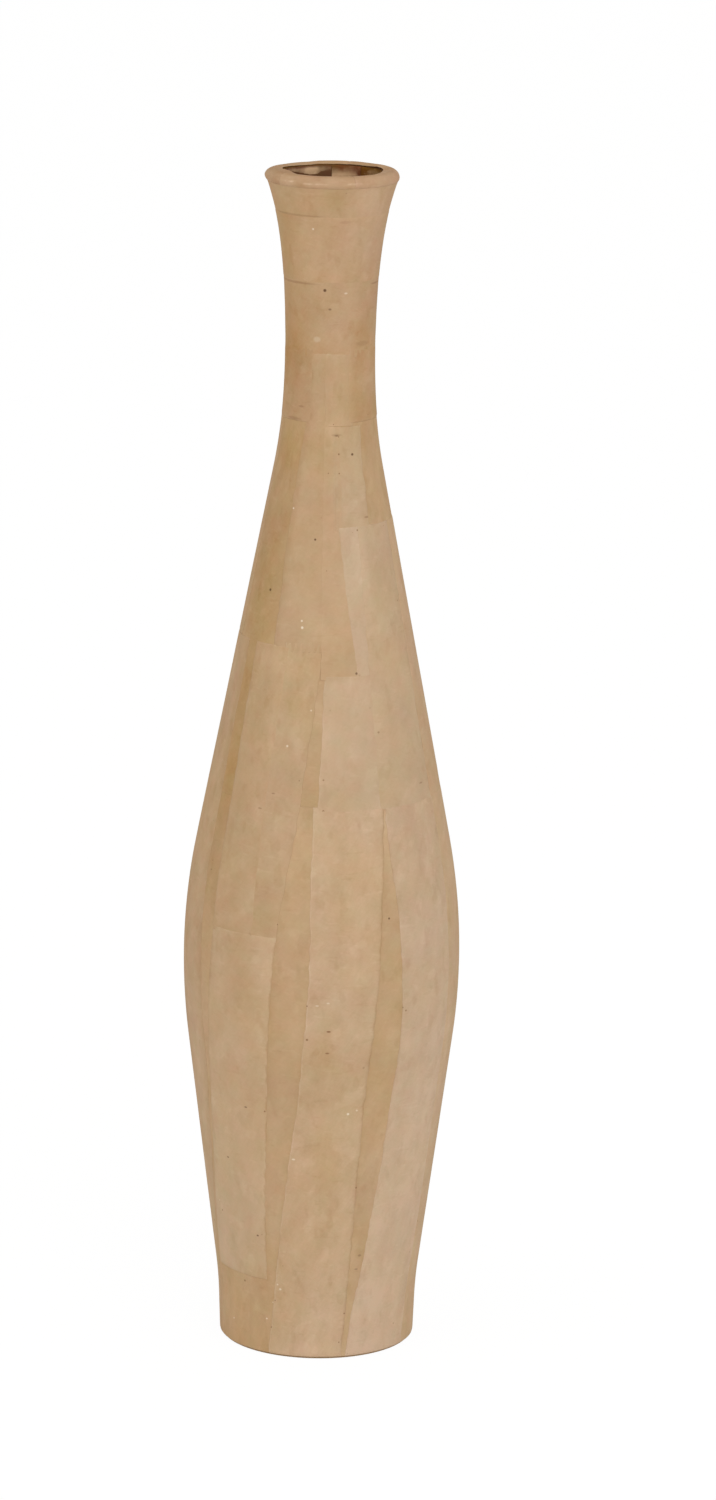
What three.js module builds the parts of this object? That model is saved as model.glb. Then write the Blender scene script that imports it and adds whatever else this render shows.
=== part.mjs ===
import * as THREE from 'three';

// Everything is in millimetres, the base stands on z = 0 and +Z is up.
// Angles are in degrees round the axis: 0 is the front (-Y) and +90 is +X.

// Overall form of the vase, measured over the outermost paper
const HEIGHT = 445;
const FOOT_R = 36.7;
const FOOT_TOP_R = 37.5;
const FOOT_H = 22;
const BELLY_R = 51.7;
const BELLY_Z = 155.3;
const BELLY_BLEND = 38;
const NECK_R = 16.65;
const NECK_LENGTH = 91.3;
const NECK_BLEND_LOW = 18.7;
const NECK_BLEND_HIGH = 24.3;
const FLARE_DEPTH = 20;
const LIP_CENTRE_R = 21.45;
const LIP_R = 3.1;

// Build-up of the wall, from the outside in
const PAPER = 0.4;
const PASTE = 0.3;
const CORE_WALL = 2.4;
const BUTT_GAP = 0.36;

// Card and paper closing the foot
const COVER_THICK = 0.5;
const COVER_EDGE = 0.9;
const DISC_THICK = 2;

// Heights of the lower paper ends, above the table and above the belly
const FRONT_LOW_END = 30;
const BELLY_RISE = 11.7;

// Where the paper over the lip starts and ends, in degrees round the roll
const LIP_OVERHANG = 28;
const LIP_FOLD = 144;

// Heights of the paper bands, counted down from the middle of the lip
const MOUTH_BAND = 10;
const HIGH_BAND = 25;
const MIDDLE_BAND = 23.5;
const LOW_BAND = 28;
const FRONT_COLLAR = 29;
const RIGHT_PATCH = 36;

// Places of the ends in between, as shares of the run up the shoulder
const SHOULDER_SHARE = 0.322;
const CENTRE_SHARE = 0.623;
const SIDE_SHARE = 0.705;

// Pieces that repeat round the vase
const SEGMENTS = 40;
const UNDER_LOWER = 8;
const UNDER_UPPER = 6;
const UNDER_NECK = 3;
const LIP_WRAPS = 5;

const STEP = 360 / SEGMENTS;
const RAD = Math.PI / 180;
const LAYER = PAPER + PASTE;
const UNDER_OFFSET = LAYER;
const CORE_OFFSET = 2 * LAYER;
const LINING_OFFSET = CORE_OFFSET + CORE_WALL + PASTE;

const LIP_Z = HEIGHT - LIP_R;
const ROLL_R = LIP_R - LAYER;
const CORE_TOP = LIP_Z - ROLL_R - PASTE;
const CORE_BOTTOM = COVER_THICK + PASTE;
const NECK_Z = HEIGHT - NECK_LENGTH;

const BAND_TOP = LIP_Z - (LIP_R - PAPER) * Math.sin(LIP_OVERHANG * RAD) - 2 * PASTE;
const HIGH_SEAM = BAND_TOP - MOUTH_BAND;
const MIDDLE_SEAM = HIGH_SEAM - HIGH_BAND;
const LOW_SEAM = MIDDLE_SEAM - MIDDLE_BAND;
const COLLAR_TOP = LOW_SEAM - PASTE * 8;
const COLLAR_SEAM = LOW_SEAM - FRONT_COLLAR - PASTE;
const NECK_SEAM = LOW_SEAM - LOW_BAND;
const PATCH_SEAM = COLLAR_SEAM - RIGHT_PATCH;
const BELLY_SEAM = BELLY_Z + BELLY_RISE;
const SHOULDER_RUN = PATCH_SEAM - BELLY_SEAM;
const SHOULDER_SEAM = BELLY_SEAM + SHOULDER_RUN * SHOULDER_SHARE;
const CENTRE_SEAM = BELLY_SEAM + SHOULDER_RUN * CENTRE_SHARE;
const SIDE_SEAM = BELLY_SEAM + SHOULDER_RUN * SIDE_SHARE;

// Points of a rounded corner between two straight runs
function corner(from, at, to, below, above, count) {
  const start = along(at, from, below);
  const end = along(at, to, above);
  const points = [];
  for (let i = 0; i <= count; i += 1) {
    const t = i / count;
    const u = 1 - t;
    points.push({
      r: u * u * start.r + 2 * u * t * at.r + t * t * end.r,
      z: u * u * start.z + 2 * u * t * at.z + t * t * end.z,
    });
  }
  return points;
}

// The point a given height away from one point towards another
function along(point, target, rise) {
  const t = rise / Math.abs(target.z - point.z);
  return { r: point.r + (target.r - point.r) * t, z: point.z + (target.z - point.z) * t };
}

// Corner of the belly that makes the rounded curve reach the belly radius
function bellyCorner(foot, neck) {
  const low = BELLY_BLEND / (BELLY_Z - foot.z) / 4;
  const high = BELLY_BLEND / (neck.z - BELLY_Z) / 4;
  return { r: (BELLY_R - low * foot.r - high * neck.r) / (1 - low - high), z: BELLY_Z };
}

// Outside line of the vase from the table up to the lip
function outline() {
  const base = { r: FOOT_R, z: 0 };
  const foot = { r: FOOT_TOP_R, z: FOOT_H };
  const neck = { r: NECK_R, z: NECK_Z };
  const belly = bellyCorner(foot, neck);
  const throat = { r: NECK_R, z: NECK_Z + NECK_BLEND_HIGH };
  const mouth = { r: LIP_CENTRE_R + LIP_R, z: LIP_Z };
  const flare = { r: NECK_R, z: LIP_Z - FLARE_DEPTH };
  return [
    base,
    ...corner(base, foot, belly, FOOT_H / 3, FOOT_H / 3, 2),
    ...corner(foot, belly, neck, BELLY_BLEND, BELLY_BLEND, 6),
    ...corner(belly, neck, throat, NECK_BLEND_LOW, NECK_BLEND_HIGH, 3),
    ...corner(throat, flare, mouth, flare.z - throat.z, FLARE_DEPTH, 5).slice(1),
  ];
}

const OUTLINE = outline();

// Outside radius of the vase at a height
function radiusAt(z) {
  const last = OUTLINE.length - 1;
  for (let i = 1; i <= last; i += 1) {
    const a = OUTLINE[i - 1];
    const b = OUTLINE[i];
    if (z <= b.z || i === last) {
      return a.r + (b.r - a.r) * (z - a.z) / (b.z - a.z);
    }
  }
  return OUTLINE[last].r;
}

// Angle of a drawn edge at a height, straight between its points
function angleAt(edge, z) {
  if (typeof edge === 'number') {
    return edge;
  }
  if (z <= edge[0][0]) {
    return edge[0][1];
  }
  for (let i = 1; i < edge.length; i += 1) {
    const [z0, a0] = edge[i - 1];
    const [z1, a1] = edge[i];
    if (z <= z1) {
      return a0 + (a1 - a0) * (z - z0) / (z1 - z0);
    }
  }
  return edge[edge.length - 1][1];
}

// Heights at which a sheet between two ends bends
function levels(bottom, top, edges) {
  const inside = (z) => z > bottom + 0.4 && z < top - 0.4;
  const kept = OUTLINE.map((point) => point.z).filter(inside);
  edges.filter(Array.isArray).flat().forEach(([z]) => {
    if (inside(z) && kept.every((other) => Math.abs(other - z) > 1)) {
      kept.push(z);
    }
  });
  return [bottom, ...kept.sort((low, high) => low - high), top];
}

// Closed solid between an outer and an inner skin, from rows of
// { ro, zo, ri, zi, from, to } that follow one another upwards
function skinSolid(rows, columns) {
  const position = [];
  const put = (r, z, angle) => position.push(r * Math.sin(angle * RAD), -r * Math.cos(angle * RAD), z);
  rows.forEach((row) => {
    for (let j = 0; j <= columns; j += 1) {
      const angle = row.from + (row.to - row.from) * j / columns;
      put(row.ro, row.zo, angle);
      put(row.ri, row.zi, angle);
    }
  });
  const out = (i, j) => 2 * (i * (columns + 1) + j);
  const inn = (i, j) => out(i, j) + 1;
  const index = [];
  const quad = (a, b, c, d) => index.push(a, b, c, a, c, d);
  const top = rows.length - 1;
  for (let i = 0; i < top; i += 1) {
    for (let j = 0; j < columns; j += 1) {
      quad(out(i, j), out(i, j + 1), out(i + 1, j + 1), out(i + 1, j));
      quad(inn(i, j), inn(i + 1, j), inn(i + 1, j + 1), inn(i, j + 1));
    }
    quad(inn(i, 0), out(i, 0), out(i + 1, 0), inn(i + 1, 0));
    quad(out(i, columns), inn(i, columns), inn(i + 1, columns), out(i + 1, columns));
  }
  for (let j = 0; j < columns; j += 1) {
    quad(inn(0, j), inn(0, j + 1), out(0, j + 1), out(0, j));
    quad(out(top, j), out(top, j + 1), inn(top, j + 1), inn(top, j));
  }
  const geometry = new THREE.BufferGeometry();
  geometry.setAttribute('position', new THREE.Float32BufferAttribute(position, 3));
  geometry.setIndex(index);
  geometry.computeVertexNormals();
  return geometry;
}

// Sheet of the wall between two heights and two edges
function sheet({ bottom, top, left, right, offset, thick }) {
  const rows = levels(bottom, top, [left, right]).map((z) => {
    const r = radiusAt(z) - offset;
    const margin = BUTT_GAP / 2 / r / RAD;
    return {
      ro: r,
      zo: z,
      ri: r - thick,
      zi: z,
      from: angleAt(left, z) + margin,
      to: angleAt(right, z) - margin,
    };
  });
  const span = Math.max(...rows.map((row) => row.to - row.from));
  const slant = Array.isArray(left) || Array.isArray(right) ? 1 : 0;
  return skinSolid(rows, Math.ceil(span / STEP - 1e-6) + slant);
}

// Flat round plate lying on a height
function plate(radius, z, thick) {
  const points = [
    new THREE.Vector2(0, z),
    new THREE.Vector2(radius, z),
    new THREE.Vector2(radius, z + thick),
    new THREE.Vector2(0, z + thick),
  ];
  const geometry = new THREE.LatheGeometry(points, SEGMENTS);
  geometry.rotateX(Math.PI / 2);
  return geometry;
}

// Materials
const FINISHES = {
  pulp: { color: 0x8a6c47, roughness: 0.95 },
  card: { color: 0xa07f57, roughness: 0.9 },
  rolled: { color: 0xa98860, roughness: 0.92 },
  ochre: { color: 0xb8996e, roughness: 0.9 },
  kraft: { color: 0xc4a783, roughness: 0.88 },
  pale: { color: 0xc9ac8a, roughness: 0.88 },
  scrap: { color: 0xb49670, roughness: 0.92 },
};

const vase = new THREE.Group();
vase.name = 'papier_mache_vase';

// Add one named piece to the vase
function add(name, geometry, finish) {
  const { color, roughness } = FINISHES[finish];
  const material = new THREE.MeshStandardMaterial({ color, roughness, metalness: 0 });
  material.name = finish;
  const mesh = new THREE.Mesh(geometry, material);
  mesh.name = name;
  vase.add(mesh);
}

// Add one pasted paper strip of the outer layer
function addStrip(name, bottom, top, left, right, finish = 'kraft') {
  const strip = { bottom: bottom + PASTE / 2, top: top - PASTE / 2, left, right, offset: 0, thick: PAPER };
  add(name, sheet(strip), finish);
}

// Moulded paper core in two halves, glued edge to edge
function buildCore() {
  const half = { bottom: CORE_BOTTOM, top: CORE_TOP, offset: CORE_OFFSET, thick: CORE_WALL };
  add('core_half_left', sheet({ ...half, left: -180, right: 0 }), 'pulp');
  add('core_half_right', sheet({ ...half, left: 0, right: 180 }), 'pulp');
}

// Card disc set into the foot and the paper pasted under it
function buildFoot() {
  const inside = radiusAt(CORE_BOTTOM) - CORE_OFFSET - CORE_WALL - PASTE;
  add('base_disc', plate(inside, CORE_BOTTOM, DISC_THICK), 'card');
  add('base_cover_paper', plate(FOOT_R - COVER_EDGE, 0, COVER_THICK), 'ochre');
}

// Rolled paper ring that gives the lip its fat edge
function buildRoll() {
  const ring = new THREE.TorusGeometry(LIP_CENTRE_R, ROLL_R, 10, SEGMENTS);
  ring.translate(0, 0, LIP_Z);
  add('lip_roll', ring, 'rolled');
}

// Paper wraps folded over the lip
function buildLipWraps() {
  const share = 360 / LIP_WRAPS;
  const folds = 8;
  for (let k = 0; k < LIP_WRAPS; k += 1) {
    const rows = [];
    for (let i = 0; i <= folds; i += 1) {
      const turn = (-LIP_OVERHANG + (LIP_FOLD + LIP_OVERHANG) * i / folds) * RAD;
      const margin = BUTT_GAP / 2 / (LIP_CENTRE_R - LIP_R) / RAD;
      rows.push({
        ro: LIP_CENTRE_R + LIP_R * Math.cos(turn),
        zo: LIP_Z + LIP_R * Math.sin(turn),
        ri: LIP_CENTRE_R + (LIP_R - PAPER) * Math.cos(turn),
        zi: LIP_Z + (LIP_R - PAPER) * Math.sin(turn),
        from: 20 + share * k + margin,
        to: 20 + share * (k + 1) - margin,
      });
    }
    add(`lip_wrap_${k + 1}`, skinSolid(rows, Math.ceil(share / STEP)), 'kraft');
  }
}

// Scraps pasted over the inside of the roll and down inside the mouth
function buildMouthScraps() {
  const scraps = [
    ['mouth_scrap_far_left', 182.2, 243, 3.4],
    ['mouth_scrap_far_centre', 147, 181, 14],
    ['mouth_scrap_far_right', 97, 145.8, 9],
    ['mouth_scrap_near', -62, 41, 22],
  ];
  const folds = 3;
  const start = LIP_FOLD + BUTT_GAP / LIP_R / RAD;
  const clear = LIP_CENTRE_R - ROLL_R - PASTE;
  scraps.forEach(([name, from, to, drop]) => {
    const rows = levels(LIP_Z - drop, LIP_Z, []).map((z) => {
      const r = Math.min(radiusAt(z) - LINING_OFFSET, clear);
      return { ro: r, zo: z, ri: r - PAPER, zi: z, from, to };
    });
    for (let i = 1; i <= folds; i += 1) {
      const turn = (180 + (start - 180) * i / folds) * RAD;
      rows.push({
        ro: LIP_CENTRE_R + (ROLL_R + PASTE) * Math.cos(turn),
        zo: LIP_Z + (ROLL_R + PASTE) * Math.sin(turn),
        ri: LIP_CENTRE_R + LIP_R * Math.cos(turn),
        zi: LIP_Z + LIP_R * Math.sin(turn),
        from,
        to,
      });
    }
    add(name, skinSolid(rows, Math.ceil((to - from) / STEP)), 'scrap');
  });
}

// One ring of under-layer strips
function buildUnderRing(prefix, count, start, bottom, top) {
  for (let k = 0; k < count; k += 1) {
    const left = start + 360 * k / count;
    const strip = { bottom, top, left, right: left + 360 / count, offset: UNDER_OFFSET, thick: PAPER };
    add(`${prefix}_${k + 1}`, sheet(strip), 'ochre');
  }
}

// Under-layer of strips that bridges the joint of the core
function buildUnderLayer() {
  const half = PASTE / 2;
  buildUnderRing('under_strip_lower', UNDER_LOWER, -42, CORE_BOTTOM, SHOULDER_SEAM - half);
  buildUnderRing('under_strip_upper', UNDER_UPPER, -82, SHOULDER_SEAM + half, NECK_SEAM - half);
  buildUnderRing('under_wrap_neck', UNDER_NECK, -50, NECK_SEAM + half, CORE_TOP - PASTE);
}

// Bands wound round the neck, each closed by one butt joint
function buildNeckBands() {
  addStrip('neck_band_mouth', HIGH_SEAM, BAND_TOP, 128, 488);
  addStrip('neck_band_high', MIDDLE_SEAM, HIGH_SEAM, 205, 565);
  addStrip('neck_band_middle', LOW_SEAM, MIDDLE_SEAM, 158, 518);
  addStrip('neck_band_low', NECK_SEAM, LOW_SEAM, 30, 332);
}

// Edge drawn through angles at even steps between two heights
function drawn(bottom, top, angles) {
  const rise = (top - bottom) / (angles.length - 1);
  return angles.map((angle, k) => [bottom + rise * k, angle]);
}

// Drawn edges of the front strips
const CENTRE_LEFT = drawn(0, SHOULDER_SEAM, [-29.5, -25.6, -22, -18.2, -14.5, -10.5, -8.2, -6, -5.1, -5, -5, -5]);
const CENTRE_RIGHT = drawn(0, SHOULDER_SEAM, [14.5, 17.4, 18.1, 19, 19.8, 20.3, 21.4, 23.5, 25, 26.3, 28.5, 31]);
const RIGHT_LEFT = drawn(0, SHOULDER_SEAM, [17, 21, 26, 28.8, 31.8, 33.1, 35.2, 36.2, 35.2, 34.2, 32, 31]);
const RIGHT_RIGHT = drawn(0, 2 * FRONT_LOW_END, [58, 62, 64, 65]);
const PATCH_LEFT = drawn(SHOULDER_SEAM, CENTRE_SEAM, [-3, -1.7, -0.5]);
const BRIGHT_LEFT = drawn(CENTRE_SEAM, PATCH_SEAM, [19.6, 18, 14.6, 11.8, 9]);
const LEFT_INNER = drawn(BELLY_SEAM, SIDE_SEAM, [-30, -30, -29.7, -28.8, -26.8, -24]);
const LEFT_OUTER = drawn(FRONT_LOW_END, BELLY_SEAM, [-73, -68, -63, -59, -56, -53.8, -52]);
const BESIDE_RIGHT = drawn(BELLY_SEAM, SIDE_SEAM, [-19.5, -16.4, -12.8, -9.6, -6, -0.5]);
const LOW_RIGHT = drawn(FRONT_LOW_END, BELLY_SEAM, [-29, -28.2, -26.4, -24.2, -23, -21.2, -19.5]);
const HIGH_LEFT = drawn(SIDE_SEAM, NECK_SEAM - PASTE, [-36.5, -36.2, -36, -36.4, -36.2, -35.6, -34.8, -33.6, -28]);
const SIDE_RIGHT = drawn(0, SIDE_SEAM, [-79, -73.5, -64.5, -59.5, -60.5, -61.5, -61.5, -61]);

// Outer strips that the front of the vase shows
function buildFrontStrips() {
  addStrip('front_centre_strip', CORE_BOTTOM, SHOULDER_SEAM, CENTRE_LEFT, CENTRE_RIGHT);
  addStrip('front_centre_patch', SHOULDER_SEAM, CENTRE_SEAM, PATCH_LEFT, 31, 'pale');
  addStrip('front_right_strip', CORE_BOTTOM, SHOULDER_SEAM, RIGHT_LEFT, RIGHT_RIGHT, 'pale');
  addStrip('front_right_shoulder_strip', SHOULDER_SEAM, PATCH_SEAM, 31, 66);
  addStrip('front_bright_patch', CENTRE_SEAM, PATCH_SEAM, BRIGHT_LEFT, 31, 'pale');
  addStrip('front_left_low_strip', FRONT_LOW_END, BELLY_SEAM, LEFT_OUTER, LOW_RIGHT);
  addStrip('front_left_strip', BELLY_SEAM, SIDE_SEAM, -52.3, LEFT_INNER);
  addStrip('front_left_inner_strip', BELLY_SEAM, SIDE_SEAM, LEFT_INNER, BESIDE_RIGHT);
  addStrip('front_left_shoulder_strip', SIDE_SEAM, COLLAR_TOP, HIGH_LEFT, -0.5);
  addStrip('front_shoulder_strip', CENTRE_SEAM, COLLAR_SEAM, -0.5, BRIGHT_LEFT);
  addStrip('front_right_neck_patch', PATCH_SEAM, COLLAR_SEAM, 9, 40);
  addStrip('front_neck_patch', COLLAR_SEAM, COLLAR_TOP, -0.5, 29, 'pale');
}

// Edge that leans evenly between the foot and the neck
function leaning(atFoot, atNeck) {
  return [[0, atFoot], [NECK_SEAM, atNeck]];
}

// Outer strips round the sides and the back
function buildBackStrips() {
  const lower = [
    ['right_side_strip', RIGHT_RIGHT, leaning(98, 104)],
    ['back_strip_1', leaning(101, 108), leaning(140, 147)],
    ['back_strip_2', leaning(143, 148), leaning(176, 180)],
    ['back_strip_3', leaning(179, 182), leaning(217, 224)],
    ['back_strip_4', leaning(221, 224), leaning(254, 257)],
  ];
  lower.forEach(([name, left, right], k) => {
    const top = k % 2 === 0 ? SHOULDER_SEAM : BELLY_SEAM;
    addStrip(name, CORE_BOTTOM, top, left, right, k % 2 === 0 ? 'kraft' : 'pale');
  });
  addStrip('left_side_strip', CORE_BOTTOM, SIDE_SEAM, leaning(-103, -100), SIDE_RIGHT);
  const upper = [
    ['right_shoulder_strip', 66, 112, SHOULDER_SEAM, PATCH_SEAM],
    ['back_shoulder_strip_1', 115, 160, SHOULDER_SEAM, NECK_SEAM],
    ['back_shoulder_strip_2', 162, 208, SHOULDER_SEAM, NECK_SEAM],
    ['back_shoulder_strip_3', 208, 256, SHOULDER_SEAM, NECK_SEAM],
    ['left_shoulder_strip', 260, 285, SIDE_SEAM, NECK_SEAM],
  ];
  upper.forEach(([name, left, right, bottom, top]) => {
    addStrip(name, bottom, top, left, right);
  });
}

buildCore();
buildFoot();
buildRoll();
buildLipWraps();
buildMouthScraps();
buildUnderLayer();
buildNeckBands();
buildFrontStrips();
buildBackStrips();

export default vase;
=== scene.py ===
"""Papier-mache bottle vase: pasted kraft paper strips over a moulded pulp core.

The vase is built as a maker lays it up. A core in two halves is closed by a
card disc and a rolled paper lip, an under-layer of strips covers it, and an
outer layer of strips, patches and bands is pasted on top. Sizes are in
millimetres, angles in degrees round the axis with 0 at the front (-Y) and
+90 at +X. Everything is turned into metres where the meshes are made.
"""

import logging
import math
from dataclasses import dataclass, field
from enum import Enum, Flag, auto
from functools import cache, cached_property

import bpy
from mathutils import Matrix, Vector, noise


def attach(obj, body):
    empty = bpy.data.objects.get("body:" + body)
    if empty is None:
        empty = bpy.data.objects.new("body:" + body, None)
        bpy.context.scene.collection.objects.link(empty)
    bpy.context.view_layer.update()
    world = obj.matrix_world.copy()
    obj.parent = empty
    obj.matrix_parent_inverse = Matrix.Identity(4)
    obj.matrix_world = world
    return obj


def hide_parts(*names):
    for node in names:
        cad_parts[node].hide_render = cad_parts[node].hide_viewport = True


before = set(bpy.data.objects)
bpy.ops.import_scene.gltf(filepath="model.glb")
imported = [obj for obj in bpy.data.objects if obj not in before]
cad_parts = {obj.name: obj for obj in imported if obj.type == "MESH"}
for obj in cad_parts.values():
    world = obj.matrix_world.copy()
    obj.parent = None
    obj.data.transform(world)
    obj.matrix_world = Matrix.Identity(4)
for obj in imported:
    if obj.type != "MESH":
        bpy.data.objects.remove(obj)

LOG = logging.getLogger("vase")
MM = 0.001
SEED_STEP = 7.31
CORNER_STEPS = 16
LEAN_HEIGHT = 353.5
FAR_FROM_EDGE = 5.0
NO_SUCH_EDGE = 9.0

Triple = tuple[float, float, float]
Colour = Triple
Face = tuple[int, ...]
Sides = tuple[float, float, float, float]
Piece = bpy.types.Object
Material = bpy.types.Material
Node = bpy.types.Node
Socket = bpy.types.NodeSocket


def linear(colour: tuple[int, int, int]) -> Colour:
    """Turn a colour of 0 to 255 as seen on a screen into scene values.

    Args:
        colour: Red, green and blue from 0 to 255.

    Returns:
        The three values that shader sockets take.
    """

    def channel(value: float) -> float:
        """Undo the screen's curve for one channel."""
        share = value / 255.0
        return share / 12.92 if share <= 0.04045 else ((share + 0.055) / 1.055) ** 2.4

    return (channel(colour[0]), channel(colour[1]), channel(colour[2]))


def soft_step(low: float, high: float, value: float) -> float:
    """Rise smoothly from 0 at low to 1 at high."""
    share = min(1.0, max(0.0, (value - low) / (high - low)))
    return share * share * (3.0 - 2.0 * share)


def ripple(u: float, v: float, seed: float, wide: float, tall: float) -> float:
    """Smooth unevenness of a hand-laid sheet.

    Args:
        u: Place along the girth, in mm.
        v: Place along the height, in mm.
        seed: Number of the sheet, so that no two are alike.
        wide: Size of the waves along the girth, in mm.
        tall: Size of the waves along the height, in mm.

    Returns:
        A value from about -1 to 1.
    """
    return noise.noise(Vector((u / wide, v / tall, seed * SEED_STEP)))


def bell(turn: float, middle: float, width: float) -> float:
    """Bump round the axis, which fades to either side.

    Args:
        turn: Angle round the axis, in radians.
        middle: Angle of the bump's middle, in degrees.
        width: Width of the bump, in degrees.

    Returns:
        The height, 1 in the middle and nearly 0 two widths away.
    """
    swing = math.remainder(turn - math.radians(middle), 2 * math.pi) / math.radians(width)
    return math.exp(-(swing**2))


def around(radius: float, turn: float, z: float) -> Vector:
    """Place at a radius, at an angle in radians round the axis and at a height."""
    return Vector((radius * math.sin(turn), -radius * math.cos(turn), z))


@dataclass(frozen=True)
class Outline:
    """Outside line of the vase over the outermost paper, in mm."""

    height: float = 445.0
    foot_radius: float = 36.7
    foot_top_radius: float = 37.5
    foot_height: float = 22.0
    belly_radius: float = 51.7
    belly_height: float = 155.3
    belly_blend: float = 38.0
    neck_radius: float = 16.65
    neck_length: float = 91.3
    neck_blend_low: float = 18.7
    neck_blend_high: float = 24.3
    flare_depth: float = 20.0
    lip_centre_radius: float = 21.45
    lip_radius: float = 3.1

    @property
    def lip_height(self) -> float:
        """Height of the middle of the rolled lip."""
        return self.height - self.lip_radius

    @staticmethod
    def corner(
        start: tuple[float, float],
        at: tuple[float, float],
        end: tuple[float, float],
        below: float,
        above: float,
    ) -> list[tuple[float, float]]:
        """Points of a rounded corner between two straight runs.

        Args:
            start: Radius and height where the lower run comes from.
            at: Radius and height of the sharp corner.
            end: Radius and height where the upper run goes to.
            below: Height of the rounding under the corner.
            above: Height of the rounding over the corner.

        Returns:
            Radius and height of each point, from the lowest up.
        """
        low_share = below / (at[1] - start[1])
        high_share = above / (end[1] - at[1])
        low = (at[0] + (start[0] - at[0]) * low_share, at[1] - below)
        high = (at[0] + (end[0] - at[0]) * high_share, at[1] + above)
        points = []
        for step in range(CORNER_STEPS + 1):
            t = step / CORNER_STEPS
            a, b, c = (1 - t) ** 2, 2 * t * (1 - t), t * t
            points.append((a * low[0] + b * at[0] + c * high[0], a * low[1] + b * at[1] + c * high[1]))
        return points

    @cached_property
    def points(self) -> list[tuple[float, float]]:
        """Radius and height of the points along the whole line.

        Returns:
            The points from the base up to the lip.
        """
        base = (self.foot_radius, 0.0)
        foot = (self.foot_top_radius, self.foot_height)
        neck_height = self.height - self.neck_length
        neck = (self.neck_radius, neck_height)
        low = self.belly_blend / (self.belly_height - foot[1]) / 4
        high = self.belly_blend / (neck_height - self.belly_height) / 4
        belly_edge = (self.belly_radius - low * foot[0] - high * neck[0]) / (1 - low - high)
        belly = (belly_edge, self.belly_height)
        throat = (self.neck_radius, neck_height + self.neck_blend_high)
        flare = (self.neck_radius, self.lip_height - self.flare_depth)
        mouth = (self.lip_centre_radius + self.lip_radius, self.lip_height)
        third = self.foot_height / 3
        return [
            base,
            *self.corner(base, foot, belly, third, third),
            *self.corner(foot, belly, neck, self.belly_blend, self.belly_blend),
            *self.corner(belly, neck, throat, self.neck_blend_low, self.neck_blend_high),
            *self.corner(throat, flare, mouth, flare[1] - throat[1], self.flare_depth)[1:],
        ]

    def radius(self, z: float) -> float:
        """Outside radius of the vase at a height.

        Args:
            z: Height, in mm.

        Returns:
            The radius, straight between the points of the line.
        """
        points = self.points
        low, high = 0, len(points) - 1
        while high - low > 1:
            middle = (low + high) // 2
            if points[middle][1] <= z:
                low = middle
            else:
                high = middle
        (r0, z0), (r1, z1) = points[low], points[high]
        return r0 + (r1 - r0) * (z - z0) / (z1 - z0)


@dataclass(frozen=True)
class Build:
    """Thicknesses of the lay-up, in mm, as depths below the outline."""

    outline: Outline = Outline()
    relief: float = 0.1
    over_depth: float = 0.03
    tuck_depth: float = 0.1
    edge_depth: float = 0.16
    under_depth: float = 0.22
    bond: float = 0.08
    under_thick: float = 0.45
    core_depth: float = 1.4
    core_wall: float = 2.4
    ring_room: float = 2.4

    @property
    def inside_depth(self) -> float:
        """Depth of the inside face of the core."""
        return self.core_depth + self.core_wall

    @property
    def ring_foot(self) -> float:
        """Height at which the rolled ring in the lip begins."""
        return self.outline.lip_height - self.ring_room


@dataclass(frozen=True)
class Edge:
    """Side of a strip, as the angle that it has at some heights."""

    points: tuple[tuple[float, float], ...]

    @classmethod
    def straight(cls, angle: float) -> "Edge":
        """Make an edge that stands upright at one angle."""
        return cls(((0.0, angle),))

    @classmethod
    def drawn(cls, bottom: float, top: float, angles: tuple[float, ...]) -> "Edge":
        """Make an edge through angles at even steps between two heights."""
        rise = (top - bottom) / (len(angles) - 1)
        return cls(tuple((bottom + rise * k, angle) for k, angle in enumerate(angles)))

    @classmethod
    def leaning(cls, foot: float, neck: float) -> "Edge":
        """Make an edge that leans evenly from the foot to the neck."""
        return cls(((0.0, foot), (LEAN_HEIGHT, neck)))

    def corner_angle(self, z: float) -> float:
        """Angle at a height, straight between the points.

        Args:
            z: Height, in mm.

        Returns:
            The angle, in degrees.
        """
        if z <= self.points[0][0]:
            return self.points[0][1]
        for (z0, a0), (z1, a1) in zip(self.points, self.points[1:]):
            if z <= z1:
                return a0 + (a1 - a0) * (z - z0) / (z1 - z0)
        return self.points[-1][1]

    def angle(self, z: float) -> float:
        """Angle at a height, with the corners eased."""
        reach = (-5.0, -2.5, 0.0, 2.5, 5.0)
        return sum(self.corner_angle(z + step) for step in reach) / len(reach)


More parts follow.
